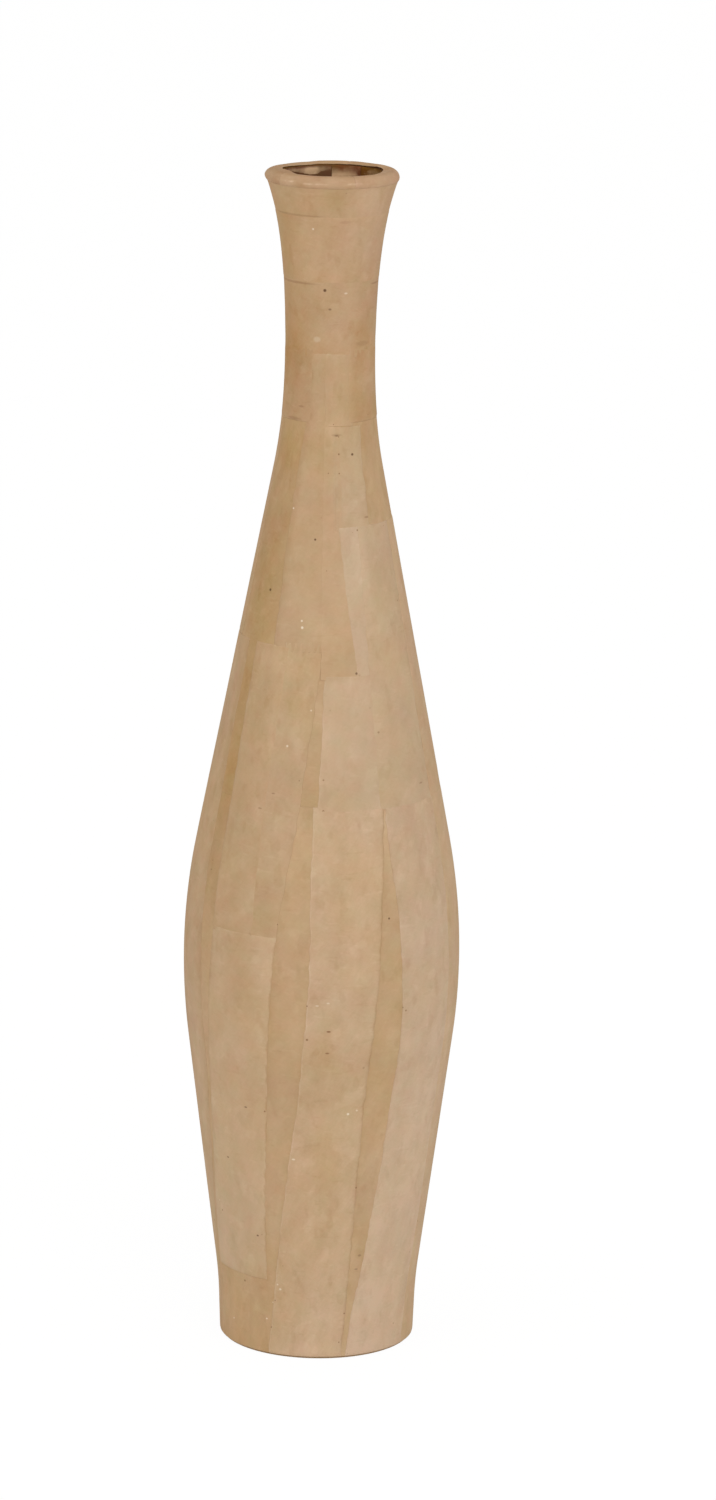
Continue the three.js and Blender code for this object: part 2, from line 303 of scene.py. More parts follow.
@dataclass(frozen=True)
class Seams:
    """Heights at which paper strips, patches and bands end, in mm."""

    outline: Outline = Outline()
    foot: float = 0.8
    low_end: float = 30.0
    belly_rise: float = 11.7
    shoulder_share: float = 0.322
    centre_share: float = 0.64
    side_share: float = 0.705
    mouth_band: float = 10.0
    high_band: float = 25.0
    middle_band: float = 23.5
    low_band: float = 28.0
    collar: float = 29.0
    collar_gap: float = 2.4
    right_patch: float = 36.0
    joint: float = 0.3
    wrap_radius: float = 2.7
    wrap_overhang: float = 28.0
    wrap_gap: float = 0.6

    @property
    def belly(self) -> float:
        """Top of the short lower strips."""
        return self.outline.belly_height + self.belly_rise

    @property
    def shoulder(self) -> float:
        """Top of the tall lower strips."""
        return self.belly + (self.patch - self.belly) * self.shoulder_share

    @property
    def centre(self) -> float:
        """Top of the patch over the front centre strip."""
        return self.belly + (self.patch - self.belly) * self.centre_share

    @property
    def band_top(self) -> float:
        """Top of the mouth band, just under the lip."""
        drop = self.wrap_radius * math.sin(math.radians(self.wrap_overhang))
        return self.outline.lip_height - drop - self.wrap_gap

    @property
    def high(self) -> float:
        """Foot of the mouth band."""
        return self.band_top - self.mouth_band

    @property
    def middle(self) -> float:
        """Foot of the high band."""
        return self.high - self.high_band

    @property
    def low(self) -> float:
        """Foot of the middle band."""
        return self.middle - self.middle_band

    @property
    def neck(self) -> float:
        """Foot of the low band."""
        return self.low - self.low_band

    @property
    def collar_top(self) -> float:
        """Top of the front strips that run up the neck."""
        return self.low - self.collar_gap

    @property
    def collar_foot(self) -> float:
        """Foot of the patch on the front of the neck."""
        return self.low - self.collar - self.joint

    @property
    def patch(self) -> float:
        """Top of the right shoulder strips."""
        return self.collar_foot - self.right_patch

    @property
    def side(self) -> float:
        """Top of the left strips."""
        return self.belly + (self.patch - self.belly) * self.side_share

    @cached_property
    def centre_left(self) -> Edge:
        """Left edge of the front centre strip."""
        angles = (-29.5, -25.6, -22, -18.2, -14.5, -10.5, -8.2, -6, -5.1, -5, -5, -5)
        return Edge.drawn(0, self.shoulder, angles)

    @cached_property
    def centre_right(self) -> Edge:
        """Right edge of the front centre strip."""
        angles = (14.5, 17.4, 18.1, 19, 19.8, 20.3, 21.4, 23.5, 25, 26.3, 28.5, 31)
        return Edge.drawn(0, self.shoulder, angles)

    @cached_property
    def right_left(self) -> Edge:
        """Left edge of the front right strip."""
        angles = (17, 21, 26, 28.8, 31.8, 33.1, 35.2, 36.2, 35.2, 34.2, 32, 31)
        return Edge.drawn(0, self.shoulder, angles)

    @cached_property
    def right_right(self) -> Edge:
        """Right edge of the front right strip."""
        return Edge.drawn(0, 2 * self.low_end, (58, 62, 64, 65))

    @cached_property
    def low_right(self) -> Edge:
        """Right edge of the low left strip."""
        return Edge.drawn(self.low_end, self.belly, (-29, -28.2, -26.4, -24.2, -23, -21.2, -19.5))


class Side(Flag):
    """Sides of a sheet that lie tucked under a neighbour."""

    NONE = 0
    LEFT = auto()
    RIGHT = auto()
    BOTTOM = auto()
    TOP = auto()


class Layer(Enum):
    """Layer of the lay-up that a sheet belongs to."""

    OVER = "over"
    UNDER = "under"


class Slot(Enum):
    """Material slot of the part that a finish stands for."""

    KRAFT = "kraft_paper"
    UNDER = "under_paper"
    SCRAP = "scrap_paper"
    ROLLED = "rolled_paper"
    PULP = "pulp_core"
    CARD = "base_card"


class NodeBench:
    """Small helper that lays out the nodes of a material or of the world."""

    columns = 12
    pitch_across = 200
    pitch_down = 220
    paper_sheen = 0.22

    def __init__(self, owner: Material | bpy.types.World) -> None:
        """Start with no nodes.

        Args:
            owner: The material or the world.
        """
        self.owner = owner
        self.owner.use_nodes = True
        self.tree = self.owner.node_tree
        self.tree.nodes.clear()
        self.count = 0

    def add(self, kind: str, **settings: object) -> Node:
        """Add a node and set its properties.

        Args:
            kind: Blender's identifier of the node.
            **settings: Properties of the node.

        Returns:
            The new node.
        """
        node = self.tree.nodes.new(kind)
        row, column = divmod(self.count, self.columns)
        node.location = (self.pitch_across * column, -self.pitch_down * row)
        self.count += 1
        for key, value in settings.items():
            setattr(node, key, value)
        return node

    def feed(self, socket: Socket, value: object) -> None:
        """Link a socket, or set its value when no socket is given.

        Args:
            socket: The socket to feed.
            value: Another node's socket, or a plain value.
        """
        if isinstance(value, Socket):
            self.tree.links.new(value, socket)
        else:
            socket.default_value = value

    def math(self, operation: str, a: object, b: object = 0.0, clamp: bool = False) -> Socket:
        """Combine two values.

        Args:
            operation: Name of the sum, such as ADD or MULTIPLY.
            a: First value or socket.
            b: Second value or socket.
            clamp: Keep the result from 0 to 1.

        Returns:
            The socket of the result.
        """
        node = self.add("ShaderNodeMath", operation=operation, use_clamp=clamp)
        self.feed(node.inputs[0], a)
        self.feed(node.inputs[1], b)
        return node.outputs[0]

    def times(self, a: object, b: object, clamp: bool = False) -> Socket:
        """Multiply two values."""
        return self.math("MULTIPLY", a, b, clamp)

    def total(self, *values: object) -> Socket:
        """Add several values together.

        Args:
            *values: The values or sockets.

        Returns:
            The socket of the sum.
        """
        result = values[0]
        for value in values[1:]:
            result = self.math("ADD", result, value)
        return result

    def attribute(self, name: str) -> Node:
        """Read a named value that the mesh carries."""
        return self.add("ShaderNodeAttribute", attribute_name=name)

    def stretch(self, vector: Socket, scale: Triple, turn: float = 0.0) -> Socket:
        """Scale and turn texture coordinates.

        Args:
            vector: The coordinates.
            scale: Factor along each axis.
            turn: Turn in the plane of the sheet, in degrees.

        Returns:
            The socket of the changed coordinates.
        """
        spin = self.add("ShaderNodeVectorRotate", rotation_type="Z_AXIS")
        self.feed(spin.inputs["Vector"], vector)
        spin.inputs["Angle"].default_value = math.radians(turn)
        node = self.add("ShaderNodeVectorMath", operation="MULTIPLY")
        self.feed(node.inputs[0], spin.outputs[0])
        node.inputs[1].default_value = scale
        return node.outputs[0]

    def cloud(self, vector: Socket, size: float, detail: float = 2.0, rough: float = 0.6) -> Socket:
        """Noise about zero, with clouds of a size in mm.

        Args:
            vector: Coordinates in mm.
            size: Size of the clouds.
            detail: Octaves of finer noise.
            rough: Strength of each finer octave against the one before.

        Returns:
            A socket from about -0.5 to 0.5.
        """
        node = self.add("ShaderNodeTexNoise", noise_dimensions="3D")
        self.feed(node.inputs["Vector"], vector)
        node.inputs["Scale"].default_value = 1.0 / size
        node.inputs["Detail"].default_value = detail
        node.inputs["Roughness"].default_value = rough
        return self.math("SUBTRACT", node.outputs[0], 0.5)

    def shift(self, colour: Socket, amount: Socket, step: Colour) -> Socket:
        """Move a colour along one direction.

        Args:
            colour: The colour.
            amount: How far to go.
            step: Change of red, green and blue for an amount of 1.

        Returns:
            The socket of the moved colour.
        """
        node = self.add("ShaderNodeVectorMath", operation="MULTIPLY_ADD")
        self.feed(node.inputs[0], amount)
        node.inputs[1].default_value = step
        self.feed(node.inputs[2], colour)
        return node.outputs[0]

    def dots(self, vector: Socket, pitch: float, share: float, size: float) -> Socket:
        """Scattered dots.

        Args:
            vector: Coordinates in mm.
            pitch: Distance between possible dots, in mm.
            share: Share of the places that hold a dot.
            size: Radius of a dot, in mm.

        Returns:
            A socket that is 1 on the dots and 0 elsewhere.
        """
        node = self.add("ShaderNodeTexVoronoi", voronoi_dimensions="3D", feature="F1")
        self.feed(node.inputs["Vector"], vector)
        node.inputs["Scale"].default_value = 1.0 / pitch
        split = self.add("ShaderNodeSeparateColor")
        self.feed(split.inputs[0], node.outputs["Color"])
        chosen = self.math("GREATER_THAN", split.outputs[0], 1.0 - share)
        reach = self.times(split.outputs[1], size / pitch)
        inside = self.math("SUBTRACT", reach, node.outputs["Distance"])
        solid = self.times(inside, 6.0 * pitch / size, clamp=True)
        return self.times(solid, chosen)

    def patches(self, vector: Socket, size: float, limit: float) -> Socket:
        """Separate patches with a fairly clear outline.

        Args:
            vector: Coordinates in mm.
            size: Size of the patches.
            limit: How high the noise must be to count.

        Returns:
            A socket that is 1 in the patches and 0 between them.
        """
        rise = self.math("SUBTRACT", self.cloud(vector, size, 1.5, 0.5), limit)
        return self.times(rise, 14.0, clamp=True)

    def blend(self, amount: object, a: object, b: object) -> Socket:
        """Mix two colours.

        Args:
            amount: Share of the second colour.
            a: First colour or socket.
            b: Second colour or socket.

        Returns:
            The socket of the mixed colour.
        """
        node = self.add("ShaderNodeMix", data_type="RGBA", blend_type="MIX")
        self.feed(node.inputs[0], amount)
        self.feed(node.inputs[6], a if isinstance(a, Socket) else (*a, 1.0))
        self.feed(node.inputs[7], b if isinstance(b, Socket) else (*b, 1.0))
        return node.outputs[2]

    def seen_direct(self) -> Socket:
        """Where the camera sees a surface itself, in gloss or through glass.

        Returns:
            A socket that is 1 there and 0 for all other light.
        """
        rays = self.add("ShaderNodeLightPath")
        seen = self.math("MAXIMUM", rays.outputs["Is Camera Ray"], rays.outputs["Is Glossy Ray"])
        return self.math("MAXIMUM", seen, rays.outputs["Is Transmission Ray"])

    def close_mixed(self, amount: Socket, lit: Node, seen: Node, output: str) -> None:
        """Close the tree with a mix of two shaders.

        Args:
            amount: Share of the second shader.
            lit: Shader that lights the vase.
            seen: Shader that the camera sees.
            output: Blender's identifier of the output node.
        """
        mix = self.add("ShaderNodeMixShader")
        self.feed(mix.inputs[0], amount)
        self.feed(mix.inputs[1], lit.outputs[0])
        self.feed(mix.inputs[2], seen.outputs[0])
        self.feed(self.add(output).inputs[0], mix.outputs[0])

    def paper_surface(
        self, colour: object, roughness: object, height: object, distance: float, strength: float
    ) -> Material:
        """Close the material with a dull paper surface.

        Args:
            colour: Colour of the paper.
            roughness: Roughness of the surface.
            height: Relief of the surface, from 0 to about 1.
            distance: Depth of the relief, in mm.
            strength: Strength of the relief.

        Returns:
            The finished material.
        """
        shader = self.add("ShaderNodeBsdfPrincipled")
        self.feed(shader.inputs["Base Color"], colour)
        self.feed(shader.inputs["Roughness"], roughness)
        shader.inputs["Specular IOR Level"].default_value = self.paper_sheen
        bump = self.add("ShaderNodeBump")
        bump.inputs["Strength"].default_value = strength
        bump.inputs["Distance"].default_value = distance * MM
        self.feed(bump.inputs["Height"], height)
        self.feed(shader.inputs["Normal"], bump.outputs[0])
        output = self.add("ShaderNodeOutputMaterial")
        self.feed(output.inputs[0], shader.outputs[0])
        return self.owner


DARK_SPECK = linear((86, 58, 34))
DARK_LINE = linear((124, 82, 50))
PALE_SPECK = linear((240, 226, 202))


@dataclass(frozen=True)
class Speck:
    """One dark or light bit of pulp, or one short dark line, seen on the front.

    A stretch of more than about 2 makes a line, which is also a little paler.
    """

    angle: float
    height: float
    size: float
    dark: bool = True
    stretch: float = 1.0
    strength: float = 0.85
    line_stretch: float = 2.2

    @property
    def shade(self) -> Colour:
        """Colour of the speck."""
        dim = DARK_SPECK if self.stretch < self.line_stretch else DARK_LINE
        return dim if self.dark else PALE_SPECK


SPECKS = (
    Speck(-7.5, 402.5, 0.75),
    Speck(27.0, 342.0, 0.6),
    Speck(-10.5, 311.5, 0.5),
    Speck(19.5, 263.2, 0.6, strength=0.7),
    Speck(9.0, 349.0, 0.45, stretch=2.0, strength=0.45),
    Speck(-17.2, 282.0, 0.5, dark=False, strength=0.7),
    Speck(-16.6, 279.6, 0.62, dark=False, strength=0.8),
    Speck(-20.0, 425.2, 0.5, dark=False, strength=0.6),
    Speck(-34.0, 322.0, 0.5, dark=False, strength=0.7),
    Speck(-20.5, 236.6, 0.55, dark=False, strength=0.6),
    Speck(-8.0, 250.0, 0.45, dark=False, strength=0.55),
    Speck(13.0, 99.0, 0.6, dark=False, strength=0.75),
    Speck(-21.0, 27.0, 0.55, dark=False, strength=0.6),
    Speck(-22.6, 28.8, 0.45, dark=False, strength=0.5),
    Speck(-35.3, 98.9, 0.4, stretch=2.0, strength=0.6),
    Speck(-49.6, 76.4, 0.4, stretch=1.8, strength=0.55),
    Speck(-33.3, 47.5, 0.45, stretch=1.3, strength=0.75),
    Speck(3.4, 132.0, 0.42, stretch=2.3, strength=0.8),
    Speck(3.0, 123.5, 0.42, stretch=2.3, strength=0.6),
    Speck(36.0, 139.0, 0.42, stretch=1.3, strength=0.6),
    Speck(35.2, 135.5, 0.4, strength=0.5),
    Speck(32.0, 96.0, 0.4, stretch=1.4, strength=0.5),
    Speck(-1.5, 142.0, 0.4, dark=False, stretch=2.0, strength=0.4),
    Speck(3.0, 143.0, 0.4, dark=False, stretch=1.8, strength=0.4),
    Speck(-12.0, 80.5, 0.45, dark=False, stretch=1.8, strength=0.6),
    Speck(-32.5, 213.0, 0.35, stretch=3.0, strength=0.4),
    Speck(-26.0, 219.0, 0.35, stretch=2.5, strength=0.45),
    Speck(58.0, 220.0, 0.35, stretch=4.0, strength=0.4),
    Speck(-7.0, 170.0, 0.35, stretch=2.4, strength=0.6),
    Speck(-1.0, 395.5, 0.5, strength=0.5, stretch=1.5),
    Speck(18.5, 401.4, 0.45, dark=False, stretch=1.8, strength=0.45),
    Speck(-17.0, 384.2, 1.3, dark=False, stretch=1.3, strength=0.2),
    Speck(-55.0, 404.6, 0.55, stretch=26.0, strength=0.32),
    Speck(68.0, 404.0, 0.5, stretch=8.0, strength=0.35),
    Speck(-42.0, 430.0, 0.5, stretch=30.0, strength=0.26),
    Speck(14.0, 428.0, 0.7, stretch=4.0, strength=0.14),
    Speck(-48.0, 354.3, 0.7, stretch=6.0, strength=0.3),
    Speck(-37.0, 359.0, 0.5, stretch=3.0, strength=0.3),
    Speck(9.0, 349.2, 0.6, stretch=4.0, strength=0.25),
    Speck(58.0, 352.5, 0.6, stretch=8.0, strength=0.35),
    Speck(46.0, 382.3, 1.2, stretch=3.4, strength=0.2),
    Speck(38.0, 319.0, 0.45, stretch=3.0, strength=0.4),
)
UNDER_SPECKS = (
    Speck(29.5, 173.6, 0.6),
    Speck(-47.0, 291.5, 0.72),
    Speck(-57.6, 10.2, 0.5, dark=False),
    Speck(-30.2, 14.2, 0.5, dark=False),
    Speck(-26.0, 21.2, 0.4, dark=False),
    Speck(23.5, 41.0, 0.6, stretch=1.6, strength=0.35),
    Speck(22.0, 35.5, 0.5, stretch=1.8, strength=0.35),
)


@dataclass(frozen=True)
class Shade:
    """Shade of the paper at one place.

    The tone goes from 0, ochre, to 1, pale. Warmth and pinkness shift the
    colour in small steps, and vigour is the strength of the fine mottling.
    """

    tone: float
    warm: float = 0.0
    pink: float = 0.0
    vigour: float = 1.0

    def added(self, other: "Shade", share: float) -> "Shade":
        """This shade with a share of another one added.

        Args:
            other: The shade to add.
            share: How much of it.

        Returns:
            The new shade, as vigorous as this one.
        """
        return Shade(
            self.tone + other.tone * share,
            self.warm + other.warm * share,
            self.pink + other.pink * share,
            self.vigour,
        )


@dataclass(frozen=True)
class StainAndLightPatch:
    """Broad soft patch where the shade of the paper changes: mostly its own uneven tone, and in places
    painted light and shade, as noted beside those patches.
    """

    angle: float
    height: float
    wide: float
    tall: float
    change: Shade
    falloff: float = 1.2

    def reach(self, turn: float, z: float, radius: float) -> float:
        """Strength of the stain at a place of the surface.

        Args:
            turn: Angle round the axis, in radians.
            z: Height, in mm.
            radius: Radius of the surface there, in mm.

        Returns:
            The strength, from 0 to 1.
        """
        swing = math.remainder(turn - math.radians(self.angle), 2 * math.pi)
        reach = (swing * radius / self.wide) ** 2 + ((z - self.height) / self.tall) ** 2
        return math.exp(-reach * self.falloff)


# Patches on the outer paper: most are its uneven tone, and those marked painted light stand in for light.
STAIN_AND_LIGHT_PATCHES = (
    StainAndLightPatch(-62.0, 378.0, 11.0, 16.0, Shade(-0.26, 5.0, 1.0)),
    StainAndLightPatch(56.0, 380.0, 8.0, 16.0, Shade(-0.07, 1.0)),
    # Painted light: the next two patches make the lower body paler, standing in for more light there.
    StainAndLightPatch(40.0, 36.0, 46.0, 52.0, Shade(0.1, -0.4, -0.2)),
    StainAndLightPatch(-62.0, 40.0, 20.0, 40.0, Shade(0.16, -1.0, -1.2)),
    StainAndLightPatch(52.0, 428.0, 9.0, 14.0, Shade(0.18, -2.2, -1.2)),
    StainAndLightPatch(-62.0, 420.0, 10.0, 22.0, Shade(-0.1, 3.0)),
    StainAndLightPatch(60.0, 420.0, 8.0, 18.0, Shade(-0.08, 0.0, 0.6)),
    StainAndLightPatch(0.0, 437.5, 6.0, 4.0, Shade(-0.16, 1.5, -0.5)),
    StainAndLightPatch(32.0, 435.0, 5.0, 5.0, Shade(0.14, 0.0, 0.8)),
    StainAndLightPatch(8.0, 190.0, 4.0, 26.0, Shade(-0.09)),
    StainAndLightPatch(3.0, 122.0, 5.0, 16.0, Shade(-0.12, 2.0)),
    StainAndLightPatch(4.0, 78.0, 6.0, 16.0, Shade(-0.1, 3.0)),
    StainAndLightPatch(6.0, 15.0, 8.0, 12.0, Shade(0.12)),
    StainAndLightPatch(20.0, 206.0, 8.0, 8.0, Shade(0.08)),
    StainAndLightPatch(-40.0, 267.0, 9.0, 4.5, Shade(0.14)),
    StainAndLightPatch(-31.0, 262.0, 3.5, 9.0, Shade(0.1)),
    StainAndLightPatch(-40.0, 157.0, 8.0, 12.0, Shade(-0.12, 1.0)),
    StainAndLightPatch(-34.0, 145.0, 8.0, 12.0, Shade(-0.2, 0.5)),
    StainAndLightPatch(19.0, 254.0, 8.0, 8.0, Shade(0.16)),
    StainAndLightPatch(46.0, 247.0, 14.0, 10.0, Shade(-0.13)),
    StainAndLightPatch(55.0, 96.0, 20.0, 30.0, Shade(0.15, -0.8)),
    StainAndLightPatch(-47.0, 207.0, 8.0, 12.0, Shade(0.06, -2.0, -1.5)),
    StainAndLightPatch(58.0, 366.0, 5.0, 10.0, Shade(0.12, -1.5)),
    StainAndLightPatch(23.0, 328.0, 8.0, 19.0, Shade(0.04, -0.8, -1.0)),
    StainAndLightPatch(9.0, 352.0, 4.0, 6.0, Shade(0.14)),
    StainAndLightPatch(46.0, 388.0, 6.0, 5.0, Shade(-0.16, 1.5, 1.0)),
    # Painted light: cooler along the right silhouette, standing in for the white surround's light at the
    # edge.
    StainAndLightPatch(72.0, 95.0, 6.0, 60.0, Shade(0.04, -2.0)),
    # Painted light: paler along the bottom edge, against the shade that the floor gives there.
    StainAndLightPatch(8.0, 1.0, 36.0, 6.0, Shade(0.24)),
    StainAndLightPatch(-50.0, 78.0, 8.0, 20.0, Shade(0.04, 1.0, -1.2)),
    StainAndLightPatch(-44.0, 195.0, 6.0, 12.0, Shade(0.0, 0.5, -1.0)),
    # Painted light: paler along the left silhouette, standing in for more light on that side.
    StainAndLightPatch(-70.0, 100.0, 9.0, 40.0, Shade(0.2, 0.0, -0.6)),
    StainAndLightPatch(38.0, 20.0, 12.0, 16.0, Shade(0.16, 0.0, 0.4)),
    StainAndLightPatch(60.0, 110.0, 8.0, 40.0, Shade(0.1)),
    StainAndLightPatch(30.0, 222.0, 8.0, 5.0, Shade(-0.02, 0.0, -1.0)),
    StainAndLightPatch(30.0, 394.0, 8.0, 8.0, Shade(0.14, -2.0, -0.3)),
    StainAndLightPatch(38.0, 121.0, 4.0, 14.0, Shade(0.12, -0.8)),
    StainAndLightPatch(30.0, 300.0, 2.6, 18.0, Shade(0.19, -0.8)),
    StainAndLightPatch(33.0, 254.0, 5.0, 9.0, Shade(0.12, -0.4)),
    StainAndLightPatch(-9.0, 86.0, 5.0, 8.0, Shade(-0.13)),
)
# Patches on the under-layer: most are its uneven tone, and those marked painted light stand in for light.
UNDER_STAIN_AND_LIGHT_PATCHES = (
    StainAndLightPatch(-57.0, 235.0, 9.0, 55.0, Shade(-0.22, 3.5, 0.5)),
    StainAndLightPatch(-52.0, 316.0, 16.0, 46.0, Shade(-0.2, 3.0)),
    StainAndLightPatch(-48.0, 344.0, 10.0, 12.0, Shade(-0.14, 3.0)),
    # Painted light: the lower under-layer made paler, as on the outer paper.
    StainAndLightPatch(20.0, 36.0, 60.0, 50.0, Shade(0.1)),
    StainAndLightPatch(-60.0, 385.0, 9.0, 20.0, Shade(0.0, 5.0)),
    StainAndLightPatch(-45.0, 12.0, 22.0, 22.0, Shade(0.0, 2.5, 0.5)),
    StainAndLightPatch(18.0, 41.0, 4.0, 7.0, Shade(0.2, -1.5)),
    StainAndLightPatch(31.0, 208.0, 4.0, 11.0, Shade(0.24)),
    StainAndLightPatch(-21.0, 130.0, 6.0, 36.0, Shade(-0.12)),
    # Painted light: paler along the bottom edge.
    StainAndLightPatch(16.0, 1.0, 8.0, 6.0, Shade(0.2)),
    StainAndLightPatch(-57.0, 196.0, 6.0, 26.0, Shade(-0.12, 1.2)),
    StainAndLightPatch(-29.0, 30.0, 5.0, 13.0, Shade(-0.17, 1.3)),
    StainAndLightPatch(-38.0, 14.0, 8.0, 14.0, Shade(-0.1, 0.8)),
    StainAndLightPatch(58.0, 349.0, 8.0, 8.0, Shade(-0.12)),
    StainAndLightPatch(-56.0, 220.0, 5.0, 15.0, Shade(-0.13, 0.3, -0.3)),
    StainAndLightPatch(-7.0, 228.0, 6.0, 26.0, Shade(-0.03, -0.3, -1.3)),
    StainAndLightPatch(24.5, 66.0, 4.0, 9.0, Shade(-0.12, 0.4)),
    StainAndLightPatch(24.0, 44.0, 3.0, 7.0, Shade(-0.14, 0.4)),
    StainAndLightPatch(-5.0, 249.0, 3.0, 13.0, Shade(0.13)),
)


@dataclass(frozen=True)
class EdgeShadeAndPaste:
    """Darker band in the corner along a strip's edge: painted shade that the strip's edge casts on the
    under-layer, and dried paste.
    """

    edge: Edge
    bottom: float
    top: float
    wide: float
    change: Shade

    def reach(self, turn: float, z: float, radius: float) -> float:
        """Strength of the darker band at a place of the surface.

        Args:
            turn: Angle round the axis, in radians.
            z: Height, in mm.
            radius: Radius of the surface there, in mm.

        Returns:
            The strength, from 0 to 1.
        """
        if not self.bottom < z < self.top:
            return 0.0
        gap = (turn - math.radians(self.edge.angle(z))) * radius
        return math.exp(-((gap / self.wide) ** 2))


Mark = StainAndLightPatch | EdgeShadeAndPaste
LEAST_SHARE = 0.01


def shaded(start: Shade, marks: tuple[Mark, ...], turn: float, z: float, radius: float) -> Shade:
    """Shade of the paper at a place, with the stains and painted light patches that reach it.

    Args:
        start: Shade of the sheet.
        marks: The stains, painted light patches and darker edge bands that count.
        turn: Angle round the axis, in radians.
        z: Height, in mm.
        radius: Radius of the surface there, in mm.

    Returns:
        The shade at that place.
    """
    for mark in marks:
        share = mark.reach(turn, z, radius)
        if share > LEAST_SHARE:
            start = start.added(mark.change, share)
    return start


WARMER: Colour = (0.0012, 0.0003, -0.0039)
PINKER: Colour = (0.0075, -0.0031, 0.0)
DARK_DOT = linear((136, 100, 64))
PALE_DOT = linear((222, 200, 170))


@dataclass(frozen=True)
class PaperFinish:
    """Pasted paper, from a deep shade to a pale one.

    The other numbers are the strengths of the clouds, of the light and dark dashes
    that paint the glints and shade of small crumples, of the fibres and tints that
    vary the paper and of the pale edge line that paints an edge's highlight, the
    shares of places that hold a dark or a light bit, and the depth of the relief in mm.
    """

    name: str
    deep: Colour
    pale: Colour
    mottle: float = 0.52
    smudge: float = 0.09
    # Strength of the light and dark dashes that paint the glints and shade of small crumples.
    crumple_shading: float = 0.07
    drift: float = 0.3
    grain: float = 0.13
    flush: float = 10.5
    blush: float = 2.2
    haze: float = 8.5
    # Pale line along each free edge: a painted highlight of the edge's step.
    ochre: float = 9.0
    edge_glow: float = 0.03
    dark_share: float = 0.05
    light_share: float = 0.03
    relief: float = 0.05
    specks: tuple[Speck, ...] = ()

    @cache
    def material(self, outline: Outline) -> Material:
        """Build the node material once, however many pieces share it.

        Args:
            outline: The vase's outline, on which the specks lie.

        Returns:
            The finished material.
        """
        bench = NodeBench(bpy.data.materials.new(self.name))
        sheet = bench.attribute("sheet").outputs["Vector"]
        tone = bench.attribute("tone").outputs["Fac"]
        edge = bench.attribute("edge").outputs["Fac"]
        rim = bench.attribute("rim").outputs["Fac"]
        cast = bench.add("ShaderNodeSeparateXYZ")
        bench.feed(cast.inputs[0], bench.attribute("cast").outputs["Vector"])
        upright = bench.stretch(sheet, (1.0, 0.6, 1.0), 8.0)
        mottle = bench.cloud(upright, 7.5, 3.0, 0.62)
        drift = bench.cloud(bench.stretch(sheet, (1.0, 0.8, 1.0), 33.0), 30.0, 1.0)
        smudge = bench.patches(bench.stretch(sheet, (1.0, 0.5, 1.0), -6.0), 4.6, 0.1)
        bloom = bench.patches(bench.stretch(sheet, (0.8, 0.6, 1.0), 47.0), 5.2, 0.1)
        # Light and dark dashes: painted glints and shade of small crumples.
        glint = bench.patches(bench.stretch(sheet, (0.4, 1.6, 1.0), 4.0), 2.6, 0.15)
        crumple_shade = bench.patches(bench.stretch(sheet, (0.4, 1.6, 1.0), -3.0), 2.4, 0.15)
        grain = bench.cloud(sheet, 0.8, 2.0)
        fibre = bench.cloud(bench.stretch(sheet, (0.25, 1.6, 1.0), 24.0), 1.1, 2.0)
        cross = bench.cloud(bench.stretch(sheet, (0.25, 1.6, 1.0), -52.0), 1.1, 2.0)
        weave = bench.math("ADD", fibre, cross)
        fine = bench.total(
            bench.times(mottle, self.mottle),
            bench.times(bench.math("SUBTRACT", bloom, smudge), self.smudge),
            bench.times(bench.math("SUBTRACT", glint, crumple_shade), self.crumple_shading),
            bench.times(bench.math("ADD", grain, weave), self.grain),
        )
        amount = bench.total(
            tone,
            bench.times(fine, cast.outputs[2]),
            bench.times(drift, self.drift),
            self.edge_dirt_and_painted_light(bench, sheet, edge, rim),
        )
        colour = bench.blend(bench.math("ADD", amount, 0.0, clamp=True), self.deep, self.pale)
        colour = self.tinted(bench, sheet, cast, colour)
        colour = self.dotted(bench, sheet, edge, colour)
        colour = self.spotted(bench, colour, outline)
        roughness = bench.math("ADD", bench.times(mottle, 0.2), 0.86)
        height = bench.total(
            bench.times(grain, 0.5),
            bench.times(weave, 0.5),
            bench.times(mottle, 1.5),
        )
        return bench.paper_surface(colour, roughness, height, self.relief, 0.5)

    def tinted(self, bench: NodeBench, sheet: Socket, cast: Node, colour: Socket) -> Socket:
        """Shift a colour to warmer and pinker shades, by the sheet's cast and in broad clouds.

        Args:
            bench: The material being laid out.
            sheet: Place on the flat sheet.
            cast: Node that gives the warmth and the pinkness of the place.
            colour: Colour without the shift.

        Returns:
            The socket of the shifted colour.
        """
        flush = bench.cloud(bench.stretch(sheet, (1.0, 0.8, 1.0), 71.0), 8.0, 3.0, 0.7)
        haze = bench.cloud(bench.stretch(sheet, (0.9, 0.7, 1.0), 133.0), 9.0, 3.0, 0.7)
        ochre = bench.cloud(bench.stretch(sheet, (1.0, 1.0, 1.0), 200.0), 36.0, 1.0)
        blush = bench.cloud(bench.stretch(sheet, (1.0, 0.8, 1.0), 160.0), 30.0, 1.0)
        warmth = bench.total(
            cast.outputs[0],
            bench.times(haze, self.haze),
            bench.times(ochre, self.ochre),
        )
        rosy = bench.total(
            cast.outputs[1],
            bench.times(flush, self.flush),
            bench.times(blush, self.blush),
        )
        colour = bench.shift(colour, warmth, WARMER)
        return bench.shift(colour, rosy, PINKER)

